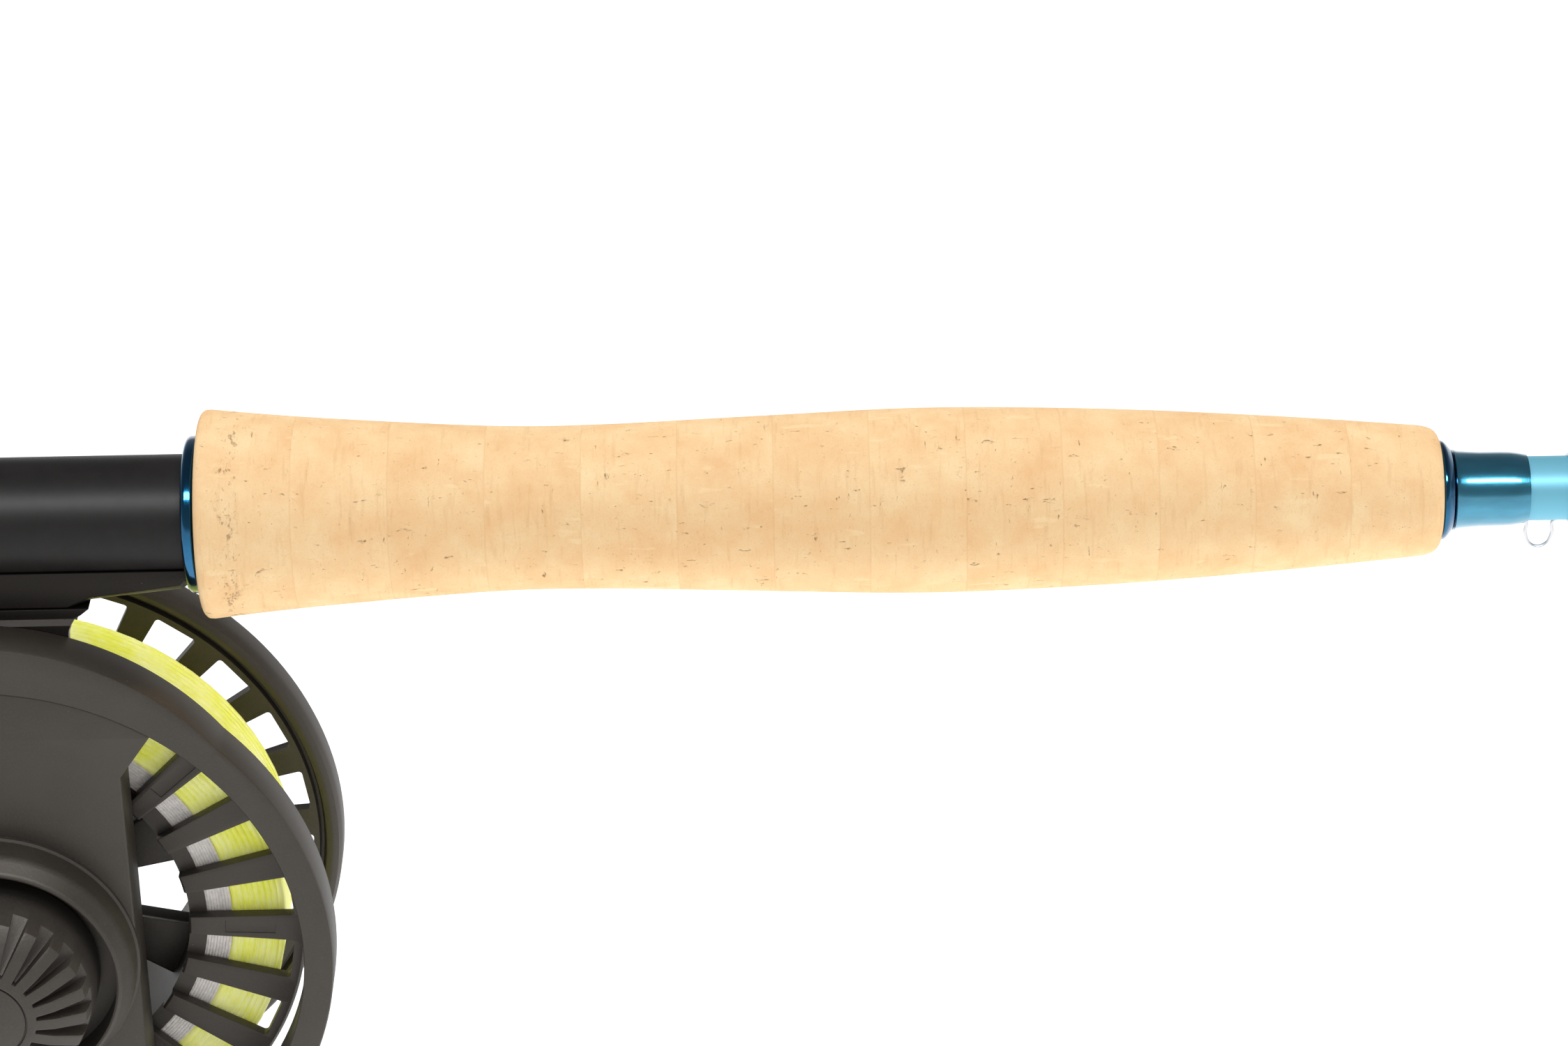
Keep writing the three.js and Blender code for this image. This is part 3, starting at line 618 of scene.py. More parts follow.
@dataclass(frozen=True)
class Cork(Finish):
    """Natural cork rings, sanded: each ring of its own tone, with growth lines, pores and cracks."""

    ring: float = 12.508
    start: float = 98.6
    pale: tuple[float, float, float] = srgb(252, 222, 172)
    deep: tuple[float, float, float] = srgb(222, 172, 118)
    pit: tuple[float, float, float] = srgb(152, 104, 72)
    ring_jump: tuple[float, float, float] = (7.3, 31.7, 17.9)

    def dress(self, shader: Shader) -> None:
        """Builds the rings, their grain, and the pits and cracks."""
        along = shader.axis("X")
        count = shader.math("DIVIDE", shader.math("SUBTRACT", along, self.start), self.ring)
        number = shader.math("FLOOR", count)
        jump = shader.tree.nodes.new("ShaderNodeCombineXYZ")
        for socket, step in zip(jump.inputs, self.ring_jump):
            shader.link(shader.math("MULTIPLY", number, step), socket)
        moved = shader.tree.nodes.new("ShaderNodeVectorMath")
        shader.link(shader.place(), moved.inputs[0])
        shader.link(jump.outputs[0], moved.inputs[1])
        own = moved.outputs[0]

        tone = shader.tree.nodes.new("ShaderNodeTexWhiteNoise")
        tone.noise_dimensions = "1D"
        shader.link(number, tone.inputs["W"])
        cloud = shader.noise(own, 0.16, 4, 0.6)
        shade = shader.mix(shader.ramp(cloud, [(0.3, 0), (0.7, 1)]), self.colour, self.pale)
        shade = shader.mix(shader.math("MULTIPLY", tone.outputs["Value"], 0.14), shade, self.deep)

        lines = shader.noise(self.stretched(shader, own, (1.0, 0.13, 0.13)), 1.25, 3, 0.6)
        shade = shader.mix(shader.ramp(lines, [(0.56, 0), (0.78, 0.42)]), shade, self.deep)
        filler = shader.noise(self.stretched(shader, own, (0.22, 0.8, 0.8)), 0.55, 3, 0.55)
        shade = shader.mix(shader.ramp(filler, [(0.64, 0), (0.7, 0.6)]), shade, self.pale)

        cracks = shader.noise(self.stretched(shader, own, (0.5, 1.3, 1.3)), 0.8, 7, 0.76)
        crack = shader.ramp(cracks, [(0.635, 0), (0.69, 0.8)])
        pores = shader.noise(own, 2.4, 5, 0.75)
        pore = shader.ramp(pores, [(0.655, 0), (0.72, 0.6)])
        splits = shader.noise(self.stretched(shader, own, (1.4, 0.4, 0.4)), 0.8, 7, 0.76)
        split = shader.ramp(splits, [(0.655, 0), (0.70, 0.8)])
        pits = shader.mix(1.0, shader.mix(1.0, crack, pore, "LIGHTEN"), split, "LIGHTEN")
        growth = shader.noise(self.stretched(shader, own, (1.0, 0.55, 0.55)), 0.95, 7, 0.8)
        first = shader.ramp(count, [(0.2, 0), (0.3, 1), (0.38, 1), (0.5, 0)])
        pits = shader.mix(1.0, pits, shader.mix(1.0, first, shader.ramp(growth, [(0.57, 0), (0.65, 0.65)]),
                                                "MULTIPLY"), "LIGHTEN")
        fleck = shader.ramp(shader.noise(own, 5.0, 3, 0.7), [(0.52, 0), (0.72, 0.34)])
        shade = shader.mix(fleck, shade, self.deep)
        shade = shader.mix(pits, shade, self.pit)

        edge = shader.math("ABSOLUTE", shader.math("SUBTRACT", shader.math("FRACT", count), 0.5))
        seam = shader.ramp(edge, [(0.489, 0), (0.497, 0.2)])
        shade = shader.mix(seam, shade, self.deep)
        shader.link(shade, shader.surface.inputs["Base Color"])

        height = shader.math("SUBTRACT", shader.math("MULTIPLY", pores, 0.25), pits)
        height = shader.math("SUBTRACT", height, shader.math("MULTIPLY", seam, 0.4))
        shader.value("Specular IOR Level", 0.25)
        shader.bump(height, 0.11, 0.8)

    @staticmethod
    def stretched(shader: Shader, where: bpy.types.NodeSocket,
                  factors: Sequence[float]) -> bpy.types.NodeSocket:
        """Stretches coordinates, so that a pattern runs along or across the grip."""
        node = shader.tree.nodes.new("ShaderNodeVectorMath")
        node.operation = "MULTIPLY"
        node.inputs[1].default_value = factors
        shader.link(where, node.inputs[0])
        return node.outputs[0]


@dataclass(frozen=True)
class ClearedGraphite(Finish):
    """A graphite blank: blue metallic flake under a deep clear coat."""

    def dress(self, shader: Shader) -> None:
        """Adds the flake and the clear coat."""
        flake = shader.cells(shader.place(), 6.5)
        cloud = shader.noise(shader.place((0.3, 1, 1)), 0.5, 3)
        deep = tuple(0.7 * part for part in self.colour)
        light = tuple(min(1.0, 1.2 * part) for part in self.colour)
        shade = shader.mix(shader.ramp(flake, [(0.1, 1), (0.55, 0)]), self.colour, light)
        shade = shader.mix(shader.math("MULTIPLY", cloud, 0.5), shade, deep)
        shader.link(shade, shader.surface.inputs["Base Color"])
        shader.value("Coat Weight", 1.0)
        shader.value("Coat Roughness", 0.03)


@dataclass(frozen=True)
class ThreadWrap(Finish):
    """Fine nylon thread laid side by side round the blank, under glossy epoxy."""

    pitch: float = 0.16

    def dress(self, shader: Shader) -> None:
        """Adds the thread's turns and the epoxy coat."""
        turns = shader.math("SINE", shader.math("MULTIPLY", shader.axis("X"), 2 * math.pi / self.pitch))
        uneven = shader.noise(shader.place((0.3, 1, 1)), 0.9, 3)
        level = shader.math("MULTIPLY_ADD", turns, 0.5, 0.5)
        deep = tuple(0.62 * part for part in self.colour)
        shade = shader.mix(shader.math("MULTIPLY", level, 0.45), self.colour, deep)
        shade = shader.mix(shader.ramp(uneven, [(0.35, 0), (0.7, 0.5)]), shade,
                           tuple(1.35 * part for part in self.colour))
        shader.link(shade, shader.surface.inputs["Base Color"])
        shader.value("Coat Weight", 1.0)
        shader.value("Coat Roughness", 0.03)
        shader.bump(level, 0.01, 0.4)


@dataclass(frozen=True)
class Steel(Finish):
    """Bright drawn or turned steel, with hair-fine drawing marks."""

    def dress(self, shader: Shader) -> None:
        """Adds drawing marks and a slight colour change."""
        marks = shader.noise(shader.place((0.4, 3, 3)), 1.3, 3)
        warm = (self.colour[0], 0.97 * self.colour[1], 0.93 * self.colour[2])
        shader.link(shader.mix(marks, self.colour, warm), shader.surface.inputs["Base Color"])
        spread = shader.math("MULTIPLY_ADD", marks, 0.18, self.roughness - 0.08)
        shader.link(spread, shader.surface.inputs["Roughness"])
        shader.bump(marks, 0.003)


@dataclass(frozen=True)
class CoatedLine(Finish):
    """Soft plastic-coated fly line, chartreuse, with darker and paler stretches and a faint painted glow."""

    dark: tuple[float, float, float] = srgb(222, 222, 66)
    pale: tuple[float, float, float] = srgb(250, 252, 168)

    def dress(self, shader: Shader) -> None:
        """Adds the uneven dye, a little light through the coating and a painted glow that brightens the line.
        """
        broad = shader.noise(shader.place(), 0.22, 3)
        fine = shader.noise(shader.place((1, 2.2, 1)), 0.9, 3)
        shade = shader.mix(shader.ramp(broad, [(0.35, 0), (0.62, 1)]), self.colour, self.pale)
        shade = shader.mix(shader.ramp(fine, [(0.5, 0), (0.75, 0.45)]), shade, self.dark)
        shader.link(shade, shader.surface.inputs["Base Color"])
        # painted glow: the line gives off its own colour as light, so it looks brighter where it lies in
        # shade between the flanges
        shader.link(shade, shader.surface.inputs["Emission Color"])
        shader.value("Emission Strength", 0.14)
        shader.value("Subsurface Weight", 0.15)
        shader.value("Subsurface Radius", (1.2 * MM, 1.2 * MM, 0.5 * MM))
        shader.bump(fine, 0.02, 0.4)


@dataclass(frozen=True)
class Braid(Finish):
    """Undyed braided backing: mottled, with a coarse weave."""

    def dress(self, shader: Shader) -> None:
        """Adds the braid's mottling and relief."""
        weave = shader.cells(shader.place(), 2.2)
        mottle = shader.noise(shader.place(), 0.9, 4, 0.7)
        deep = tuple(0.76 * part for part in self.colour)
        shade = shader.mix(shader.ramp(mottle, [(0.42, 0), (0.68, 0.75)]), self.colour, deep)
        shade = shader.mix(shader.ramp(weave, [(0.25, 0), (0.7, 0.4)]), shade, deep)
        shader.link(shade, shader.surface.inputs["Base Color"])
        shader.value("Sheen Weight", 0.25)
        shader.bump(weave, 0.06, 0.8)


@dataclass(frozen=True)
class Moulded(Finish):
    """Moulded or fired material with a fine even grain."""

    grain: float = 0.02
    coat: float = 0.0

    def dress(self, shader: Shader) -> None:
        """Adds the grain."""
        grain = shader.noise(shader.place(), 2.4, 4, 0.65)
        lighter = tuple(min(1.0, 1.5 * part + 0.004) for part in self.colour)
        shade = shader.mix(shader.ramp(grain, [(0.4, 0), (0.75, 1)]), self.colour, lighter)
        shader.link(shade, shader.surface.inputs["Base Color"])
        spread = shader.math("MULTIPLY_ADD", grain, 0.16, self.roughness - 0.08)
        shader.link(spread, shader.surface.inputs["Roughness"])
        shader.value("Coat Weight", self.coat)
        shader.bump(grain, self.grain)


@dataclass(frozen=True)
class Fibre(Finish):
    """Woven carbon fibre of the drag washer."""

    def dress(self, shader: Shader) -> None:
        """Adds the weave."""
        node = shader.tree.nodes.new("ShaderNodeTexChecker")
        node.inputs["Scale"].default_value = 0.8
        node.inputs["Color1"].default_value = (*self.colour, 1)
        node.inputs["Color2"].default_value = (*(2.4 * part for part in self.colour), 1)
        shader.link(shader.place(), node.inputs["Vector"])
        shader.link(node.outputs["Color"], shader.surface.inputs["Base Color"])


SEAT_BLACK = Anodised("satin_black_seat", Slot.SEAT, srgb(31, 29, 28), 0.44, 0.0, glint=0.27)
REEL_BLACK = Casting("matte_black_reel", Slot.REEL, srgb(46, 42, 37), 0.5, 0.0, glint=0.64)
FOOT_BLACK = Casting("satin_black_foot", Slot.REEL, srgb(26, 23, 21), 0.46, 0.0, 0.008, 1.0, 0.24)
KNOB_BLACK = Casting("matte_black_knob", Slot.REEL, srgb(52, 48, 44), 0.5, 0.0, 0.03, 1.0, 0.6)
ROUGH_CASTING = Casting("rough_casting", Slot.REEL, srgb(150, 146, 140), 0.6, 0.0, 0.25, 1.0)
TRIM_BLUE = Anodised("gloss_blue_trim", Slot.BLUE, srgb(24, 100, 142), 0.14, 1.0, 0.6, 0.001)
BLANK_BLUE = ClearedGraphite("blue_blank", Slot.BLANK, srgb(66, 146, 178), 0.14, 1.0)
THREAD_BLUE = ThreadWrap("blue_thread", Slot.THREAD, srgb(62, 140, 168), 0.22, 0.9)
STEEL = Steel("bright_steel", Slot.STEEL, srgb(214, 216, 220), 0.2, 1.0)
CERAMIC = Moulded("ring_ceramic", Slot.CERAMIC, srgb(38, 40, 44), 0.16, 0.0, 0.002, 0.6)
WASHER = Fibre("drag_washer_fibre", Slot.FIBRE, srgb(40, 40, 40), 0.4)
HANDLE_BLACK = Moulded("handle_plastic", Slot.HANDLE, srgb(44, 42, 41), 0.48, 0.0, 0.03)
LINE_YELLOW = CoatedLine("chartreuse_line", Slot.LINE, srgb(240, 244, 98), 0.42)
BACKING_WHITE = Braid("backing_braid", Slot.BACKING, srgb(255, 249, 243), 0.85)
CORK = Cork("natural_cork", Slot.CORK, srgb(243, 198, 144), 0.82)


# ---- rod ----------------------------------------------------------------------------------------


def flowing(points: Sequence[tuple[float, float]], steps: int) -> list[tuple[float, float]]:
    """Draws a smooth curve through (place, radius) points.

    Args:
        points: the curve's driving points, in order.
        steps: how many stations between two points.

    Returns:
        The stations of a Catmull-Rom curve.
    """
    ends = [points[0], *points, points[-1]]
    result = []
    for a, b, c, d in zip(ends, ends[1:], ends[2:], ends[3:]):
        for step in range(steps):
            t = step / steps
            result.append(tuple(
                0.5 * (2 * q + (r - p) * t + (2 * p - 5 * q + 4 * r - s) * t * t
                       + (3 * q - p - 3 * r + s) * t ** 3)
                for p, q, r, s in zip(a, b, c, d)
            ))
    return [*result, points[-1]]


@dataclass
class Grip:
    """The half-wells cork grip, one sanded surface over all its rings."""

    start: float = field(default_factory=lambda: low("cork_ring_01").x)
    end: float = field(default_factory=lambda: high("cork_ring_13").x)
    swell: tuple[tuple[float, float], ...] = (
        (0.0, 13.9), (14.4, 12.5), (37.4, 10.95), (52.4, 10.83), (73.4, 11.55), (95.4, 12.2),
        (118.4, 11.6), (140.4, 10.25), (157.4, 8.85), (162.6, 8.3),
    )
    rear_rounding: float = 0.9
    front_rounding: float = 1.9
    bore: float = 4.9
    recess: float = 11.4
    recess_depth: float = 9.0

    def build(self) -> None:
        """Models the grip and replaces the frame's cork rings."""
        curve = flowing(self.swell, 14)
        body = [
            (self.start + place, radius) for place, radius in curve
            if self.rear_rounding < place < self.end - self.start - self.front_rounding
        ]
        outline = [
            *self.corner(self.start, body[0][1], self.rear_rounding, 1),
            *body,
            *reversed(self.corner(self.end, body[-1][1] - 0.15, self.front_rounding, -1)),
            (self.end, self.bore),
            (self.start + self.recess_depth, self.bore),
            (self.start + self.recess_depth, self.recess),
            (self.start, self.recess),
        ]
        piece = Bench.turn("cork_grip", outline, 112, closed=True)
        Bench.settle(piece, Lie.ROD)
        rings = [f"cork_ring_{number:02d}" for number in range(1, 14)]
        finish_piece(piece, Body.BUTT, CORK, *rings, sharp=50)

    @staticmethod
    def corner(face: float, radius: float, rounding: float, way: int) -> list[tuple[float, float]]:
        """Gives a quarter round from a flat face to the grip's side."""
        return [
            (face + way * rounding * (1 - math.cos(angle)), radius - rounding * (1 - math.sin(angle)))
            for angle in (math.radians(15 * step) for step in range(6))
        ]


@dataclass
class ReelSeat:
    """The reel seat: threaded barrel, butt cap, moving hood and its two knurled nuts."""

    radius: float = 8.0
    barrel_bore: float = 4.9
    pitch: float = 1.5
    thread_end: float = 46.0
    knurls: int = 48
    knurl_scale: float = 0.96
    toe_half: float = 7.2
    toe_top: float = 4.5
    pocket_depth: float = 10.4
    gate_depth: float = 9.6

    def build(self) -> None:
        """Models every piece of the seat."""
        self.barrel()
        self.cap()
        self.hood()
        self.nut("lock_nut", Body.LOCK_NUT)
        self.nut("jam_nut", Body.JAM_NUT)
        self.trim()

    def barrel(self) -> None:
        """Turns the barrel with its rounded screw thread."""
        start, end = low("seat_barrel").x, high("seat_barrel").x
        outline = [(start, self.radius - 0.5)]
        place = start + 0.6
        while place < self.thread_end:
            outline += [
                (place, self.radius - 0.5),
                (place + 0.35, self.radius - 0.05),
                (place + 0.75, self.radius - 0.05),
                (place + 1.1, self.radius - 0.5),
            ]
            place += self.pitch
        outline += [
            (self.thread_end + 1.5, self.radius - 0.5),
            (self.thread_end + 2, self.radius),
            (end, self.radius),
            (end, self.barrel_bore),
            (start, self.barrel_bore),
        ]
        piece = Bench.settle(Bench.turn("seat_tube", outline, 80, closed=True), Lie.ROD)
        finish_piece(piece, Body.BUTT, SEAT_BLACK, "seat_barrel")

    def cap(self) -> None:
        """Turns the butt cap with its rounded rim and two grooves."""
        end, wide = high("butt_cap").x, high("butt_cap").y
        outline = [
            (0, 0.5), (0, wide - 1.2), (0.15, wide - 0.6), (0.6, wide - 0.15), (1.2, wide),
            (end - 2.2, wide), (end - 2.0, wide - 0.4), (end - 1.6, wide - 0.4), (end - 1.4, wide),
            (end - 0.4, wide), (end, wide - 0.4), (end, 0.5),
        ]
        piece = Bench.settle(Bench.turn("butt_end_cap", outline, 72), Lie.ROD)
        finish_piece(piece, Body.BUTT, SEAT_BLACK, "butt_cap")

    def hood(self) -> None:
        """Turns the moving hood and cuts its bore and the pocket for the foot's toe."""
        start, end = low("sliding_hood").x, high("sliding_hood").x
        wide = high("sliding_hood").y
        outline = [
            (start, 1), (start, wide - 0.8), (start + 0.8, wide - 0.1), (start + 5, wide),
            (end - 3, wide - 0.25), (end - 0.6, wide - 0.6), (end, wide - 1.1), (end, 1),
        ]
        piece = Bench.settle(Bench.turn("moving_hood", outline, 72), Lie.ROD)
        bore = Bench.settle(
            Bench.turn("hood_bore", [(start - 2, self.radius + 0.15), (end + 2, self.radius + 0.15)], 72),
            Lie.ROD,
        )
        Bench.boolean(piece, bore, "DIFFERENCE")
        toe = low("reel_foot").x - 0.2
        pocket = Bench.block(
            "hood_pocket", (toe, -self.toe_half, -self.pocket_depth), (end + 2, self.toe_half, -self.toe_top)
        )
        limit = Bench.settle(Bench.turn("pocket_limit", [(toe - 1, 10.0), (end + 3, 10.0)], 72), Lie.ROD)
        Bench.boolean(pocket, limit, "INTERSECT")
        Bench.boolean(piece, pocket, "DIFFERENCE")
        finish_piece(piece, Body.HOOD, SEAT_BLACK, "sliding_hood")

    def nut(self, node: str, body: Body) -> None:
        """Makes one knurled nut: a toothed rim is scaled in at both ends for its chamfers.

        Args:
            node: the frame's node that it stands for.
            body: the body that turns.
        """
        start, end = low(node).x, high(node).x
        wide = high(node).y
        outline = [
            (start, wide - 0.6), (start + 0.5, wide), (end - 0.5, wide), (end, wide - 0.6),
            (end, self.radius + 0.2), (start, self.radius + 0.2),
        ]
        piece = Bench.turn(f"{node}_knurled", outline, self.knurls * 2, closed=True)
        Bench.edit(piece)
        teeth = self.knurls

        def in_valley(place: Vector) -> bool:
            """Tells whether a rim point is at the bottom of a knurl."""
            count = math.degrees(math.atan2(place.y, place.x)) / (360 / (teeth * 2))
            return math.hypot(place.x, place.y) > self.radius + 1 and round(count) % 2 == 1

        Bench.select_where(piece, in_valley)
        bpy.ops.transform.resize(value=(self.knurl_scale, self.knurl_scale, 1), center_override=(0, 0, 0))
        bpy.ops.object.mode_set(mode="OBJECT")
        Bench.settle(piece, Lie.ROD)
        finish_piece(piece, body, SEAT_BLACK, node, sharp=20)

    def trim(self) -> None:
        """Turns the blue ring on the grip's rear face and lets the foot's toe through it."""
        start, end = low("hood_trim_ring").x, high("hood_trim_ring").x
        wide = high("hood_trim_ring").y
        bulge = [
            (start + (end - start) * (1 - math.cos(angle)) / 2, wide - 1.15 * (1 - math.sin(angle)) ** 1.5)
            for angle in (math.radians(15 * step) for step in range(0, 10))
        ]
        outline = [(start, self.radius + 0.1), *bulge, (end, bulge[-1][1]), (end, self.radius + 0.1)]
        piece = Bench.settle(Bench.turn("trim_ring", outline, 96, closed=True), Lie.ROD)
        gate = Bench.block(
            "toe_gate", (start - 1, -self.toe_half, -self.gate_depth), (end + 1, self.toe_half, -self.toe_top)
        )
        limit = Bench.settle(Bench.turn("gate_limit", [(start - 2, 9.55), (end + 2, 9.55)], 72), Lie.ROD)
        Bench.boolean(gate, limit, "INTERSECT")
        Bench.boolean(piece, gate, "DIFFERENCE")
        finish_piece(piece, Body.BUTT, TRIM_BLUE, "hood_trim_ring", sharp=50)


@dataclass
class Blank:
    """The four blank sections, with their wraps, guides and tip top."""

    start: float = 24.0
    seat_radius: float = 4.75
    tip_radius: float = 0.8
    taper: float = 0.86
    taper_end: float = 2743.0
    wall: float = 0.9
    socket_extra: float = 0.75
    socket_length: float = 58.0
    section_nodes: tuple[str, ...] = (
        "blank_butt_section", "blank_second_section", "blank_third_section", "blank_tip_section",
    )
    bodies: tuple[Body, ...] = (Body.BUTT, Body.SECOND, Body.THIRD, Body.TIP)

    def radius(self, place: float) -> float:
        """Gives the blank's outer radius at a place along the rod."""
        share = (place - self.start) / (self.taper_end - self.start)
        return self.seat_radius + (self.tip_radius - self.seat_radius) * max(share, 0) ** self.taper

    def build(self) -> None:
        """Models the sections and everything bound to them."""
        for index, node in enumerate(self.section_nodes):
            self.section(index, node)
        self.winding_check()
        self.grip_wrap()
        self.keeper()
        self.stripper()
        for number in range(1, 9):
            self.snake(number)
        self.tip()

    def section(self, index: int, node: str) -> None:
        """Turns one section, with its socket where it slips over the one below."""
        start, end = low(node).x, high(node).x
        socket = start + self.socket_length
        extra = self.socket_extra if index else 0.0
        outline = [(start, self.radius(start) + extra)]
        if index:
            outline += [(start + 0.5, self.radius(start) + extra), (socket, self.radius(socket) + extra)]
            outline += [(socket + 9, self.radius(socket + 9))]
        stations = 16
        first = outline[-1][0]
        outline += [
            (first + (end - first) * step / stations, self.radius(first + (end - first) * step / stations))
            for step in range(1, stations + 1)
        ]
        inner = [(end, max(self.radius(end) - self.wall, 0.25))]
        if index:
            inner += [(socket + 0.5, self.radius(socket) - self.wall), (socket, self.radius(socket) + 0.05)]
            inner += [(start, self.radius(start) + 0.05)]
        else:
            inner += [(start, self.radius(start) - self.wall)]
        piece = Bench.turn(f"{node}_cleared", [*outline, *inner], 48, closed=True)
        Bench.settle(piece, Lie.ROD)
        finish_piece(piece, self.bodies[index], BLANK_BLUE, node, sharp=40)
        if index:
            self.wrap(f"ferrule_wrap_{index}", start + 1.5, start + 16, self.bodies[index], self.socket_extra)

    def wrap(self, name: str, start: float, end: float, body: Body, over: float = 0.0) -> None:
        """Lays a thread wrap whose epoxy thins out towards both ends.

        Args:
            name: the new piece's name.
            start: where it starts along the rod.
            end: where it ends.
            body: the body that it is bound to.
            over: how much thicker than the blank what it is wound on is.
        """
        steps = 12
        thick = 0.42 if self.radius(start) > 2.5 else 0.3
        crown = []
        for step in range(steps + 1):
            share = step / steps
            place = start + (end - start) * share
            swell = (1 - abs(2 * share - 1) ** 6) ** 0.5
            crown.append((place, self.radius(place) + over + 0.04 + thick * swell))
        inner = [(end, self.radius(end) + over + 0.02), (start, self.radius(start) + over + 0.02)]
        piece = Bench.settle(Bench.turn(name, [*crown, *inner], 40, closed=True), Lie.ROD)
        finish_piece(piece, body, THREAD_BLUE, sharp=60)

    def winding_check(self) -> None:
        """Turns the blue ring at the grip's front face, stepped and rounded."""
        start, end = low("winding_check").x, high("winding_check").x
        wide = high("winding_check").y
        outline = [
            (start, wide - 0.12), (start + 0.18, wide), (start + 0.45, wide - 0.06),
            (start + 0.8, wide - 0.35), (start + 1.2, wide - 0.85), (start + 1.6, 5.3),
            (start + 1.75, 4.9), (end, 4.8), (end, 4.6), (start, 4.6),
        ]
        piece = Bench.settle(Bench.turn("winding_check_ring", outline, 96, closed=True), Lie.ROD)
        finish_piece(piece, Body.BUTT, TRIM_BLUE, "winding_check", sharp=50)

    def grip_wrap(self) -> None:
        """Lays the wrap in front of the grip, with epoxy fillets against the check and the blank."""
        start, end = low("grip_wrap").x, high("grip_wrap").x
        sleeve = low("winding_check").x + 1.8
        crown = [
            (sleeve, 5.35), (sleeve + 0.5, 5.16), (start + 0.4, 5.02), (start + 1.8, 4.93),
            (start + 4.8, 4.9),
            (start + 6.0, 4.86), (start + 7.0, 4.74), (start + 7.7, 4.6), (end, 4.5),
        ]
        inner = [
            (end, self.radius(end) + 0.02), (start + 0.1, self.radius(start) + 0.02),
            (start + 0.1, 4.84), (sleeve, 4.94),
        ]
        piece = Bench.settle(Bench.turn("grip_front_wrap", [*crown, *inner], 80, closed=True), Lie.ROD)
        finish_piece(piece, Body.BUTT, THREAD_BLUE, "grip_wrap", sharp=60)

    def keeper(self) -> None:
        """Bends the hook keeper's wire and lays the wrap over its front leg."""
        start, end = low("hook_keeper"), high("hook_keeper")
        middle = (start.x + end.x) / 2
        drop, top = start.z + 0.27, end.z
        points = [
            (middle - 4.4, 0, top + 0.35), (middle - 1.9, 0, top + 0.1), (middle - 1.75, 0, drop + 1.9),
            (middle - 0.8, 0, drop + 0.15), (middle + 0.8, 0, drop + 0.15), (middle + 1.75, 0, drop + 1.9),
            (middle + 1.9, 0, top + 0.1), (middle + 5.5, 0, top + 0.35),
        ]
        piece = Bench.wire("hook_keeper_wire", points, 0.25, 10)
        finish_piece(piece, Body.BUTT, STEEL, "hook_keeper", sharp=60)
        start_wrap, end_wrap = low("keeper_wrap").x, high("keeper_wrap").x
        crown = [
            (start_wrap, 4.55), (start_wrap + 0.8, 4.7), (start_wrap + 2, 4.86), (start_wrap + 4, 4.9),
            (start_wrap + 6, 4.85), (start_wrap + 7.2, 4.68), (end_wrap, 4.5),
        ]
        inner = [(end_wrap, self.radius(end_wrap) + 0.02), (start_wrap, self.radius(start_wrap) + 0.02)]
        piece = Bench.settle(Bench.turn("keeper_front_wrap", [*crown, *inner], 72, closed=True), Lie.ROD)
        finish_piece(piece, Body.BUTT, THREAD_BLUE, "keeper_wrap", sharp=60)

    def stripper(self) -> None:
        """Bends the stripping guide's two-legged frame, sets its ring and binds its feet."""
        box_low, box_high = low("stripping_guide_ring"), high("stripping_guide_ring")
        middle = (box_low.x + box_high.x) / 2
        centre = (box_low.z + box_high.z) / 2
        section = [
            (0.65 * math.cos(math.radians(angle)), 5.3 + 0.65 * math.sin(math.radians(angle)))
            for angle in range(0, 360, 24)
        ]
        ring = Bench.turn("stripping_ring", section, 72, closed=True)
        Bench.settle(ring, Lie.ROD, Vector((middle, 0, centre)))
        finish_piece(ring, Body.SECOND, CERAMIC, "stripping_guide_ring", sharp=60)
        top = -self.radius(middle) - 0.65
        hoop = [
            (middle, 6.7 * math.sin(math.radians(angle)), centre - 6.7 * math.cos(math.radians(angle)))
            for angle in range(0, 360, 30)
        ]
        parts = [Bench.wire("stripping_frame", hoop, 0.72, 8, closed=True)]
        for side in (1, -1):
            for way in (1, -1):
                leg = [
                    (middle + way * 0.3, side * 5.6, centre + 3.6), (middle + way * 5, side * 3.6, top - 3.2),
                    (middle + way * 10, side * 1, top - 0.5), (middle + way * 20, side * 0.35, top),
                ]
                parts.append(Bench.wire("leg", leg, 0.5, 8))
        piece = Bench.joined(parts)
        finish_piece(piece, Body.SECOND, STEEL, "stripping_guide_frame", sharp=60)
        for way, label in ((1, "front"), (-1, "rear")):
            ends = sorted((middle + way * 9.5, middle + way * 23))
            self.wrap(f"stripping_wrap_{label}", ends[0], ends[1], Body.SECOND, 0.9)

    def snake(self, number: int) -> None:
        """Bends one snake guide and binds both its feet.

        Args:
            number: which guide, counted from the grip.
        """
        node = f"snake_guide_{number}"
        start, end = low(node), high(node)
        middle, reach = (start.x + end.x) / 2, (end.x - start.x) / 2
        size = 4.6 - 0.32 * (number - 1)
        top = -self.radius(middle) - 0.45
        points = [
            (middle - reach, 0, top), (middle - reach * 0.62, 0, top - 0.05),
            (middle - reach * 0.3, size * 0.55, top - size * 0.75), (middle, size * 0.1, top - size * 1.5),
            (middle + reach * 0.3, -size * 0.55, top - size * 0.75), (middle + reach * 0.62, 0, top - 0.05),
            (middle + reach, 0, top),
        ]
        body = Body.SECOND if middle < low("blank_third_section").x else (
            Body.THIRD if middle < low("blank_tip_section").x else Body.TIP
        )
        piece = Bench.wire(f"{node}_wire", points, 0.36, 8, sides=2)
        finish_piece(piece, body, STEEL, node, sharp=60)
        for way, label in ((-1, "rear"), (1, "front")):
            ends = sorted((middle + way * reach * 0.6, middle + way * (reach + 2)))
            self.wrap(f"{node}_wrap_{label}", ends[0], ends[1], body, 0.35)

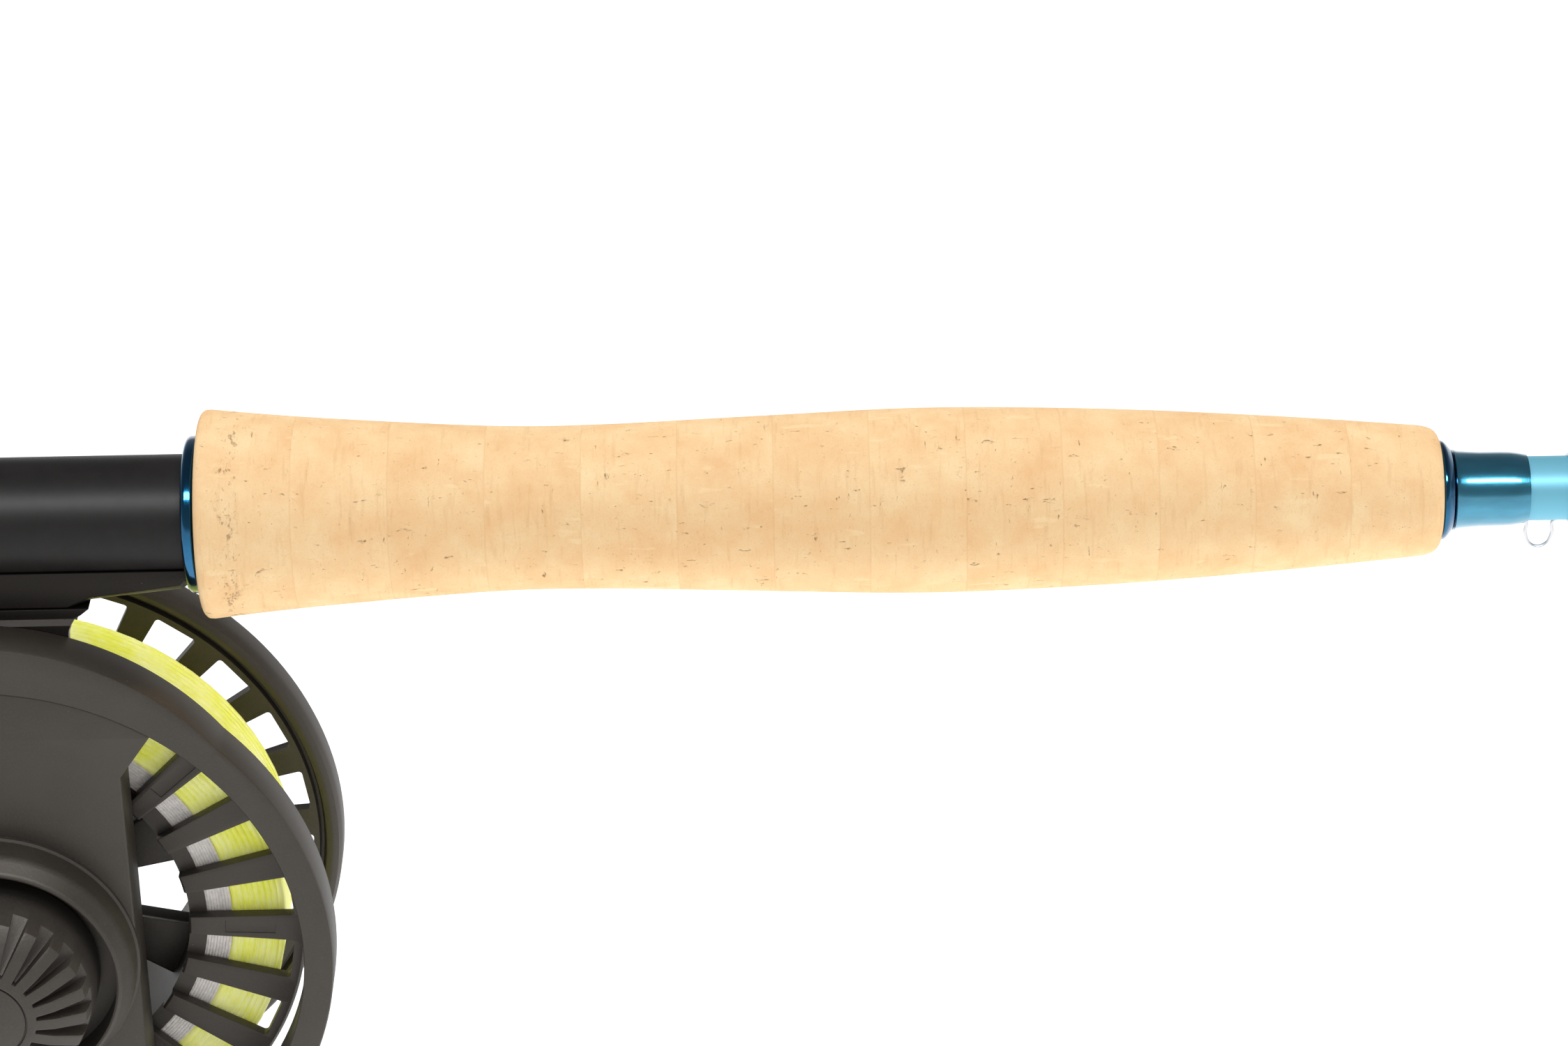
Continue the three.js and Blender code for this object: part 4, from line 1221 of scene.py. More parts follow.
    def tip(self) -> None:
        """Turns the tip top's tube and bends its loop."""
        start, end = low("tip_top").x, high("tip_top").x
        wide = 1.5
        outline = [
            (start, wide - 0.1), (start + 0.3, wide), (end - 4.2, wide), (end - 3.4, wide * 0.85),
            (end - 3.0, 0.3),
        ]
        tube = Bench.settle(Bench.turn("tip_top_tube", outline, 32), Lie.ROD)
        drop = low("tip_top").z + 0.5
        loop = [
            (end - 1.6 + 0.35 * math.cos(math.radians(angle)), 2.3 * math.sin(math.radians(angle)),
             drop + 2.3 - 2.3 * math.cos(math.radians(angle)))
            for angle in range(0, 360, 30)
        ]
        hoop = Bench.wire("tip_top_loop", loop, 0.4, 8, closed=True)
        piece = Bench.joined([tube, hoop])
        finish_piece(piece, Body.TIP, STEEL, "tip_top", sharp=50)
        self.wrap("tip_top_wrap", start - 9, start - 0.2, Body.TIP, 0.0)


# ---- reel ---------------------------------------------------------------------------------------


@dataclass
class ReelFrame:
    """The frame casting: ring, band, drag boss, housing, bridge and the foot screwed to it."""

    ring_inner: float = 41.4
    ring_outer: float = 45.4
    ring_face: float = 14.4
    ring_back: float = 7.7
    shoulder: tuple[float, float] = (40.2, 8.0)
    band_half: float = 19.0
    band_back: float = 6.6
    band_drop: float = 0.35
    flare_start: float = 27.9
    flare_end: float = 33.9
    flare_half: float = 23.2
    bridge_half: float = 13.0
    bridge_back: float = -8.0
    bridge_step: float = 1.5
    drag_bore: float = 12.4
    end_flare: float = 1.25
    flare: float = 2.8
    foot_half: float = 7.0
    foot_side_top: float = 4.7
    foot_crown: float = 17.0
    saddle: float = 8.15
    toe_lift: float = 1.4
    foot_outline: tuple[tuple[float, float], ...] = (
        (-34, 9.3), (-27, 9.3), (-16, 10.9), (-13, 12), (13, 12), (16, 10.9), (28.1, 9.75), (28.6, 9.3),
        (34, 9.3),
    )

    def build(self) -> None:
        """Models the frame's castings and the foot."""
        self.ring()
        self.band()
        self.boss()
        self.bridge()
        self.foot()
        self.screws()

    def ring(self) -> None:
        """Turns the frame's ring with its small chamfers and the shoulder that rises to the foot."""
        face, back, inner, outer = self.ring_face, self.ring_back, self.ring_inner, self.ring_outer
        outline = [
            (face, inner + 0.12), (face - 0.12, inner), (back + 0.3, inner), (back, inner + 0.3),
            (back, outer - 0.4), (back + 0.12, outer - 0.12), (back + 0.4, outer),
            (face - 0.45, outer), (face - 0.14, outer - 0.14), (face, outer - 0.45),
        ]
        piece = Bench.turn("frame_ring", outline, 180, closed=True)
        wide, lift = self.shoulder
        outline = [
            (face, wide - 6), (back, wide - 6), (back, wide - 0.4), (back + 0.12, wide - 0.12),
            (back + 0.4, wide),
            (face - 0.45, wide), (face - 0.14, wide - 0.14), (face, wide - 0.45),
        ]
        shoulder = Bench.turn("ring_shoulder", outline, 180, closed=True)
        Bench.edit(shoulder, "SELECT")
        bpy.ops.transform.translate(value=(0, lift * MM, 0))
        bpy.ops.object.mode_set(mode="OBJECT")
        inside = Bench.turn("shoulder_trim", [(0, inner + 2), (20, inner + 2)], 180)
        Bench.boolean(shoulder, inside, "DIFFERENCE")
        Bench.boolean(piece, shoulder, "UNION")
        Bench.settle(piece, Lie.REEL)
        finish_piece(piece, Body.BUTT, REEL_BLACK, "reel_frame")

    def band(self) -> None:
        """Shapes the upright band from a block: cut across, flared at its ends and trimmed round."""
        reach = self.ring_inner + 1
        front = self.ring_face - self.band_drop
        piece = Bench.block(
            "frame_band", (-self.band_half, -reach, self.band_back), (self.band_half, reach, front)
        )
        Bench.edit(piece)
        for height in (self.flare_start, self.flare_end, -self.flare_start, -self.flare_end):
            bpy.ops.mesh.select_all(action="SELECT")
            bpy.ops.mesh.bisect(plane_co=(0, height * MM, 0), plane_no=(0, 1, 0))
        Bench.select_where(piece, lambda p: abs(p.y) > self.flare_end - NEAR)
        bpy.ops.transform.resize(value=(self.flare_half / self.band_half, 1, 1), center_override=(0, 0, 0))
        Bench.select_where(piece, lambda p: abs(p.y) > reach - NEAR)
        bpy.ops.transform.resize(value=(self.end_flare, 1, 1), center_override=(0, 0, 0))
        bpy.ops.object.mode_set(mode="OBJECT")
        rim = self.ring_inner - 0.02
        trim = Bench.turn("band_trim", [(self.band_back - 2, rim), (front + 2, rim)], 180)
        Bench.boolean(piece, trim, "INTERSECT")
        hollow = Bench.turn("drag_room", [(self.band_back - 2, self.drag_bore), (10, self.drag_bore)], 96)
        Bench.boolean(piece, hollow, "DIFFERENCE")
        Bench.soften(piece, 0.28, 3)
        Bench.settle(piece, Lie.REEL)
        finish_piece(piece, Body.BUTT, REEL_BLACK)

    def boss(self) -> None:
        """Turns the drag boss, a low drum with a lip and a wide recess, and the drag housing behind it."""
        base = self.ring_face - self.band_drop - 0.3
        outline = [
            (base, 19.4), (base + 0.8, 19.35), (base + 1.0, 19.0), (17.6, 18.9), (18.3, 18.75),
            (18.7, 18.4),
            (20.0, 17.6), (20.3, 17.35), (20.4, 17.05), (20.3, 16.8), (20.0, 16.7), (15.5, 16.65),
            (15.5, 3.2),
            (base - 0.2, 3.2),
        ]
        piece = Bench.settle(Bench.turn("drag_boss", outline, 144, closed=True), Lie.REEL)
        finish_piece(piece, Body.BUTT, REEL_BLACK)
        outline = [
            (self.band_back + 0.6, 14.2), (-2.7, 14.2), (-3, 13.9), (-3, 12.7), (-2.7, self.drag_bore),
            (self.band_back + 0.6, self.drag_bore),
        ]
        piece = Bench.settle(Bench.turn("drag_housing", outline, 96, closed=True), Lie.REEL)
        finish_piece(piece, Body.BUTT, REEL_BLACK)

    def bridge(self) -> None:
        """Shapes the bridge behind the ring that carries the foot, flared where it meets the foot."""
        top = -REEL_CENTRE.z + low("reel_foot").z + 0.6
        front, root = self.ring_back + 0.1, self.ring_inner + 0.6
        half = self.bridge_half
        piece = Bench.block("foot_bridge", (-half, root, self.bridge_back), (half, top, front))
        flare = ((3.4, 0.0), (2.7, 0.1), (2.0, 0.4), (1.4, 0.9), (0.9, 1.7))
        Bench.edit(piece)
        for depth, _ in flare:
            bpy.ops.mesh.select_all(action="SELECT")
            bpy.ops.mesh.bisect(plane_co=(0, (top - depth) * MM, 0), plane_no=(0, 1, 0))
        bpy.ops.mesh.select_all(action="SELECT")
        bpy.ops.mesh.bisect(plane_co=(0, 0, self.band_back * MM), plane_no=(0, 0, 1))
        for depth, extra in (*flare, (0.0, self.flare)):
            height = top - depth
            Bench.select_where(piece, lambda p, height=height: abs(p.y - height) < NEAR)
            bpy.ops.transform.resize(value=((half + extra) / half, 1, 1), center_override=(0, 0, 0))
        Bench.select_where(piece, lambda p: p.y > top - self.bridge_step and p.z > front - NEAR)
        bpy.ops.transform.translate(value=(0, 0, (self.foot_half - front) * MM))
        Bench.select_where(piece, lambda p: p.y < root + 0.1 and p.z < self.band_back + NEAR)
        bpy.ops.transform.translate(value=(0, (self.ring_outer + 0.7 - root) * MM, 0))
        bpy.ops.object.mode_set(mode="OBJECT")
        Bench.soften(piece, 0.3, 3)
        Bench.settle(piece, Lie.REEL)
        finish_piece(piece, Body.BUTT, FOOT_BLACK)
        piece.data.materials.append(ROUGH_CASTING.material())
        middle = REEL_CENTRE.x
        for face in piece.data.polygons:
            if abs(face.center.x / MM - middle) > half - 0.1:
                face.material_index = 1

    def foot(self) -> None:
        """Shapes the foot from a block: tapered toes, a saddle ground to the tube and rounded edges."""
        start, end = low("reel_foot"), high("reel_foot")
        middle = (start.x + end.x) / 2
        depth = start.z
        top = self.foot_side_top
        piece = Bench.block("foot_bar", (start.x, -self.foot_half, depth), (end.x, self.foot_half, -top))
        Bench.edit(piece)
        for place in (-self.foot_crown, self.foot_crown):
            bpy.ops.mesh.select_all(action="SELECT")
            bpy.ops.mesh.bisect(plane_co=((middle + place) * MM, 0, 0), plane_no=(1, 0, 0))
        Bench.select_where(piece, lambda p: abs(p.x - middle) > 20 and p.z < -top - 1)
        bpy.ops.transform.translate(value=(0, 0, self.toe_lift * MM))
        bpy.ops.object.mode_set(mode="OBJECT")
        rounding = [(middle + place, radius) for place, radius in self.foot_outline]
        limit = Bench.settle(Bench.turn("foot_rounding", rounding, 120), Lie.ROD)
        Bench.boolean(piece, limit, "INTERSECT")
        saddle = Bench.turn("saddle", [(start.x - 5, self.saddle), (end.x + 5, self.saddle)], 96)
        Bench.boolean(piece, Bench.settle(saddle, Lie.ROD), "DIFFERENCE")
        Bench.soften(piece, 0.2, 2)
        finish_piece(piece, Body.BUTT, FOOT_BLACK, "reel_foot")

    def screws(self) -> None:
        """Turns the two foot screws with their domed heads and cuts a cross slot in each."""
        for number in (1, 2):
            node = f"foot_screw_{number}"
            start, end = low(node), high(node)
            place = Vector(((start.x + end.x) / 2, (start.y + end.y) / 2, 0))
            base = start.z
            outline = [
                (base, 0.6), (base + 0.12, 1.5), (base + 0.45, 2.1), (base + 1.2, 2.2), (base + 1.2, 1.2),
                (end.z, 1.2),
            ]
            piece = Bench.turn(f"{node}_turned", outline, 32)
            for size in ((1.3, 0.22), (0.22, 1.3)):
                slot = Bench.block("slot", (-size[0], -size[1], base - 1), (size[0], size[1], base + 0.6))
                Bench.boolean(piece, slot, "DIFFERENCE")
            piece.data.transform(Matrix.Translation(place * MM))
            finish_piece(piece, Body.BUTT, STEEL, node)


@dataclass
class DragKnob:
    """The drag knob: a low dome with radiating flutes that run over its edge."""

    radius: float = 14.2
    face: float = 29.6
    base: float = 15.9
    disc: float = 5.9
    fins: int = 22
    phase: float = 9.0

    def build(self) -> None:
        """Turns the knob, cuts its flutes and sets its centre disc."""
        face = self.face
        outline = [
            (20.8, 3.2), (self.base, 3.2), (self.base, self.radius - 0.6), (self.base + 0.6, self.radius),
            (20.5, self.radius - 0.05), (25.2, self.radius - 0.55), (26.2, self.radius - 0.75),
            (26.6, self.radius - 1.1), (28.5, 9.6), (29.2, 7.4), (face, self.disc + 0.35),
            (face, self.disc + 0.14), (face - 0.3, self.disc + 0.1), (face - 0.3, self.disc - 0.1),
            (face, self.disc - 0.14), (face + 0.05, 0.6),
        ]
        piece = Bench.turn("drag_knob_finned", outline, 132)
        flute = Bench.wedge("flute", (7.2, 0.55), (16.5, 2.75), (28.3, 21.6), 33)
        angles = [self.phase + 360 / self.fins * (number + 0.5) for number in range(self.fins)]
        Bench.boolean(piece, Bench.copies_round(flute, angles), "DIFFERENCE")
        Bench.soften(piece, 0.12, 2, 30)
        Bench.settle(piece, Lie.REEL)
        finish_piece(piece, Body.DRAG_KNOB, KNOB_BLACK, "drag_knob", sharp=28)


@dataclass
class Spool:
    """The spool: two windowed flanges, the palming rim, the arbor, its web of arms and the hub."""

    holes: int = 24
    near_phase: float = 12.4
    far_phase: float = 16.7
    hole_width: float = 9.0
    arbor_inner: float = 25.0
    arbor_outer: float = 26.6
    drum_lip: float = 27.4
    near: tuple[float, float] = (5.5, 3.9)
    far: tuple[float, float] = (-17.0, -18.6)
    flange: float = 41.0
    rim: float = 44.4
    rim_back: float = -22.5
    arms: int = 8
    arm_phase: float = -22.4
    arm_width: float = 21.0
    web: tuple[float, float] = (-1.4, -4.4)
    hub: float = 9.0
    hub_bore: float = 6.35
    cap_outer: float = -21.4

    def build(self) -> None:
        """Models the spool's pieces."""
        self.near_flange()
        self.far_flange()
        self.drum()
        self.webbing()
        self.hub_cap()

    def cutters(self, phase: float, inner: float, outer: float, low_z: float,
                high_z: float) -> bpy.types.Object:
        """Makes the round of cutters for one flange's windows.

        Args:
            phase: angle of one spoke's middle, in degrees.
            inner: radius of the windows' inner end.
            outer: radius of their outer end.
            low_z: where the cutters start along the axis.
            high_z: where they end.

        Returns:
            One object with all the cutters.
        """
        def chord(radius: float) -> float:
            """Gives the window's width at a radius."""
            return 2 * radius * math.sin(math.radians(self.hole_width / 2))
        model = Bench.wedge(
            "window", (inner, chord(inner)), (outer, chord(outer)), (low_z, low_z), high_z, rounding=0.55
        )
        pitch = 360 / self.holes
        return Bench.copies_round(model, [phase + pitch * (number + 0.5) for number in range(self.holes)])

    def near_flange(self) -> None:
        """Turns the slotted flange: a recessed inner ring, spokes standing proud and an outer hoop."""
        face, back = self.near
        outline = [
            (face, self.arbor_inner + 0.3), (face, self.flange - 0.4), (face - 0.4, self.flange),
            (back, self.flange), (back, self.arbor_inner), (face - 0.3, self.arbor_inner),
        ]
        piece = Bench.turn("spool_near_flange", outline, 180, closed=True)
        windows = self.cutters(self.near_phase, 23.5, 39.4, back - 1, face + 1)
        Bench.boolean(piece, windows, "DIFFERENCE")
        marks = Bench.wedge("mark", (30, 1.9), (36.8, 1.9), (face - 0.12, face - 0.12), face + 1)
        pitch = 360 / self.holes
        marked = [self.near_phase + pitch * n for n in (-1, 2, 5, 8, 11, 14, 17, 20)]
        Bench.boolean(piece, Bench.copies_round(marks, marked), "DIFFERENCE")
        Bench.soften(piece, 0.14, 2)
        Bench.settle(piece, Lie.REEL)
        finish_piece(piece, Body.SPOOL, REEL_BLACK, "spool")

    def far_flange(self) -> None:
        """Turns the far flange and the palming rim in one, with a groove between them."""
        face, back = self.far
        rim, rim_back = self.rim, self.rim_back
        outline = [
            (face, self.arbor_inner), (face, 41.2), (face - 0.9, 41.4), (face - 0.9, 41.8),
            (face + 0.2, 42.2), (face + 0.55, 42.8), (face + 0.55, 43.3), (face + 0.2, 43.9),
            (face - 0.6, 44.3), (face - 1.4, rim), (rim_back + 1.4, rim), (rim_back + 0.5, rim - 0.3),
            (rim_back + 0.1, rim - 0.9), (rim_back, rim - 1.4),
            (rim_back + 0.3, rim - 1.9), (back - 0.3, rim - 2.4), (back, rim - 3.0), (back, self.arbor_inner),
        ]
        piece = Bench.turn("spool_far_flange", outline, 180, closed=True)
        windows = self.cutters(self.far_phase, 28.4, 40.3, back - 1, face + 1)
        Bench.boolean(piece, windows, "DIFFERENCE")
        seat = joint_place("handle_knob_spin") - REEL_CENTRE
        pad = Bench.turn("handle_pad", [(back, 5), (face, 5)], 48)
        pad.data.transform(Matrix.Translation(Vector((seat.x, seat.z, 0)) * MM))
        Bench.boolean(piece, pad, "UNION")
        Bench.soften(piece, 0.12, 2)
        Bench.settle(piece, Lie.REEL)
        finish_piece(piece, Body.SPOOL, REEL_BLACK)

    def drum(self) -> None:
        """Turns the arbor's drum between the flanges."""
        lip = self.near[1]
        outline = [
            (lip + 0.08, self.arbor_inner), (lip + 0.08, self.drum_lip), (lip - 0.1, self.drum_lip),
            (lip - 0.1, self.arbor_outer),
            (self.far[0] - 0.1, self.arbor_outer), (self.far[0] - 0.1, self.arbor_inner),
        ]
        piece = Bench.settle(Bench.turn("spool_arbor", outline, 144, closed=True), Lie.REEL)
        finish_piece(piece, Body.SPOOL, REEL_BLACK)

    def webbing(self) -> None:
        """Shapes the web's arms, which widen from the hub to the arbor, and the hub itself."""
        front, back = self.web
        root, reach = self.hub - 0.8, self.arbor_inner + 0.4
        spread = 2 * math.sin(math.radians(self.arm_width / 2))
        arm = Bench.wedge("web_arms", (root, spread * root), (reach, spread * reach), (back, back), front)
        Bench.soften(arm, 0.5, 3)
        angles = [self.arm_phase + 360 / self.arms * number for number in range(self.arms)]
        piece = Bench.copies_round(arm, angles)
        Bench.settle(piece, Lie.REEL)
        finish_piece(piece, Body.SPOOL, REEL_BLACK)
        foot = self.far[1]
        outline = [
            (front + 0.3, self.hub - 0.3), (front, self.hub), (foot, self.hub), (foot, self.hub_bore),
            (front + 0.3, self.hub_bore),
        ]
        piece = Bench.settle(Bench.turn("spool_hub", outline, 96, closed=True), Lie.REEL)
        finish_piece(piece, Body.SPOOL, REEL_BLACK)

    def hub_cap(self) -> None:
        """Turns the hub's cap, cuts the latch's slot and shapes the latch with its thumb ridges."""
        wide, outer = self.hub, self.cap_outer
        outline = [
            (-19.7, 5.4), (-18.8, 5.4), (-18.8, wide - 0.2), (-19.1, wide), (outer + 0.9, wide),
            (outer + 0.3, wide - 0.3), (outer, wide - 1), (outer, 0.6),
        ]
        piece = Bench.turn("hub_cap_turned", outline, 96)
        slot = Bench.block("latch_slot", (-2.4, -5.4, -23), (2.4, wide + 1, -20.3))
        Bench.boolean(piece, slot, "DIFFERENCE")
        Bench.soften(piece, 0.15, 2)
        Bench.settle(piece, Lie.REEL)
        finish_piece(piece, Body.SPOOL, REEL_BLACK, "spool_hub_cap")
        latch = Bench.block("latch_slider", (-2.1, -0.8, -21.9), (2.1, 7.6, -20.45))
        for step in range(4):
            height = 3 + step * 1.2
            groove = Bench.block("ridge", (-3, height, -23), (3, height + 0.5, -21.6))
            Bench.boolean(latch, groove, "DIFFERENCE")
        Bench.soften(latch, 0.15, 2)
        Bench.settle(latch, Lie.REEL)
        finish_piece(latch, Body.LATCH, STEEL, "release_latch")


@dataclass
class Winding:
    """The line and backing wound on the arbor, turn beside turn and layer on layer."""

    line_radius: float = 38.2
    line_diameter: float = 1.08
    line_length: float = 27400.0
    backing_outer: float = 30.7
    backing_diameter: float = 0.45
    near: float = 3.72
    far: float = -16.82
    arbor: float = 26.75
    layer_pitch: float = 0.78
    seed: int = 4

    def build(self) -> None:
        """Winds the fly line and then the backing."""
        self.fly_line()
        self.backing()

    def fly_line(self) -> None:
        """Lays every turn of the fly line: all its layers, each turn a ring of round section."""
        chance = random.Random(self.seed)
        wide = self.line_diameter
        layer_pitch = self.layer_pitch
        layers = int((self.line_radius - wide / 2 - self.backing_outer - 0.2) / layer_pitch) + 1
        rings = []
        laid = 0.0
        for layer in range(layers):
            radius = self.line_radius - wide / 2 - layer * layer_pitch
            short = max(0.0, 3.0 - 0.85 * layer)
            place = self.near - wide / 2
            while place > self.far + wide / 2 + short:
                wobble = chance.uniform(-0.06, 0.02)
                rings.append((place + chance.uniform(-0.05, 0.05), radius + wobble))
                laid += 2 * math.pi * radius
                place -= wide * 1.01
        LOG.info("fly line: %d turns, %.1f m wound, %.1f m nominal",
                 len(rings), laid * MM, self.line_length * MM)
        piece = self.wound("fly_line_turns", rings, wide / 2, 76, 6)
        Bench.settle(piece, Lie.REEL)
        finish_piece(piece, Body.SPOOL, LINE_YELLOW, "fly_line_winding", sharp=80)

    def backing(self) -> None:
        """Lays the backing: a core, with every layer's end turns showing at both flanges."""
        wide = self.backing_diameter
        outer = self.backing_outer
        core = Bench.turn("backing_turns", [
            (self.near - wide, outer - 0.1), (self.far + wide, outer - 0.1),
            (self.far + wide, self.arbor + 0.05), (self.near - wide, self.arbor + 0.05),
        ], 96, closed=True)
        rings = []
        radius = self.arbor + wide / 2
        while radius < outer:
            for place in (self.near - wide / 2 - 0.05, self.far + wide / 2 + 0.05):
                rings.append((place, radius))
            radius += wide * 0.9
        ends = self.wound("backing_ends", rings, wide / 2, 120, 6)
        piece = Bench.joined([core, ends])
        Bench.settle(piece, Lie.REEL)
        finish_piece(piece, Body.SPOOL, BACKING_WHITE, "backing_winding", sharp=80)

    @staticmethod
    def wound(name: str, rings: Sequence[tuple[float, float]], section: float, around: int,
              sides: int) -> bpy.types.Object:
        """Copies one turn, modelled once, to every place and radius and joins the copies.

        Args:
            name: the new object's name.
            rings: (place along the axis, radius) of each turn.
            section: the line's radius.
            around: steps round each turn.
            sides: sides of the line's section.

        Returns:
            One object with all the turns.
        """
        base = 30.0
        model = Bench.turn(name, [
            (section * math.cos(angle), base + section * math.sin(angle))
            for angle in (2 * math.pi * side / sides for side in range(sides))
        ], around, closed=True)
        made = []
        for place, radius in rings:
            twin = model.copy()
            twin.data = model.data.copy()
            for point in twin.data.vertices:
                reach = math.hypot(point.co.x, point.co.y)
                ratio = (reach + (radius - base) * MM) / reach
                point.co = (point.co.x * ratio, point.co.y * ratio, point.co.z + place * MM)
            bpy.context.scene.collection.objects.link(twin)
            made.append(twin)
        bpy.data.objects.remove(model)
        piece = Bench.joined(made)
        piece.name = name
        return piece


@dataclass
class Handle:
    """The winding handle: its pin, collar and turned knob."""

    pin: float = 1.6
    bore: float = 1.75
    pin_root: float = -17.1
    collar: tuple[float, float] = (-18.75, -22.2)

    def build(self) -> None:
        """Turns the handle's three pieces about their own axis."""
        centre = joint_place("handle_knob_spin")
        near, far = -low("handle_knob").y, -high("handle_knob").y
        knob = [
            (near, self.bore), (near, 5.3), (near - 0.4, 5.6), (near - 2, 5.4), (near - 5, 5.0),
            (near - 9, 4.95), (near - 13, 5.4), (near - 17, 6.15), (near - 19.5, 6.4), (near - 21.4, 6.35),
            (near - 22.6, 5.8),
            (far + 0.25, 5.0), (far, 4.2), (far, 3.2), (far + 1, 3.2), (far + 1, self.bore),
        ]
        piece = Bench.settle(Bench.turn("handle_knob_turned", knob, 72, closed=True), Lie.REEL, centre)
        finish_piece(piece, Body.HANDLE, HANDLE_BLACK, "handle_knob", sharp=40)
        head = -high("handle_pin").y
        pin = [
            (head, 0.5), (head, 2.3), (head + 0.4, 2.8), (head + 1.4, 2.9), (head + 1.4, self.pin),
            (self.pin_root, self.pin), (self.pin_root, 0.5),
        ]
        piece = Bench.turn("handle_pin_turned", pin, 40)
        slot = Bench.block("slot", (-2, -0.35, head - 1), (2, 0.35, head + 0.5))
        Bench.boolean(piece, slot, "DIFFERENCE")
        Bench.settle(piece, Lie.REEL, centre)
        finish_piece(piece, Body.SPOOL, STEEL, "handle_pin")
        top, foot = self.collar
        collar = [
            (top, self.bore), (top, 4.4), (top - 0.45, 4.3), (foot + 0.5, 4.0), (foot, 3.6),
            (foot, self.bore),
        ]
        piece = Bench.settle(Bench.turn("handle_collar_turned", collar, 48, closed=True), Lie.REEL, centre)
        finish_piece(piece, Body.SPOOL, REEL_BLACK, "handle_collar")


@dataclass
class InnerParts:
    """The frame's own pieces that stay as they are: hidden drag parts, spindle and bearing."""

    finishes: tuple[tuple[Finish, tuple[str, ...]], ...] = (
        (STEEL, (
            "spindle", "drag_pressure_plate", "drag_disc", "drag_disc_spring", "clutch_bearing",
            "latch_spring",
        )),
        (WASHER, ("drag_washer",)),
        (SEAT_BLACK, ("fixed_hood",)),
    )

    def build(self) -> None:
        """Gives each carried-over node its finish."""
        for finish, nodes in self.finishes:
            for node in nodes:
                piece = frame["nodes"][node]
                if not piece.material_slots:
                    piece.data.materials.append(finish.material())
                for place in piece.material_slots:
                    place.material = finish.material()
                LOG.info("%s keeps its shape", node)


# ---- studio -------------------------------------------------------------------------------------


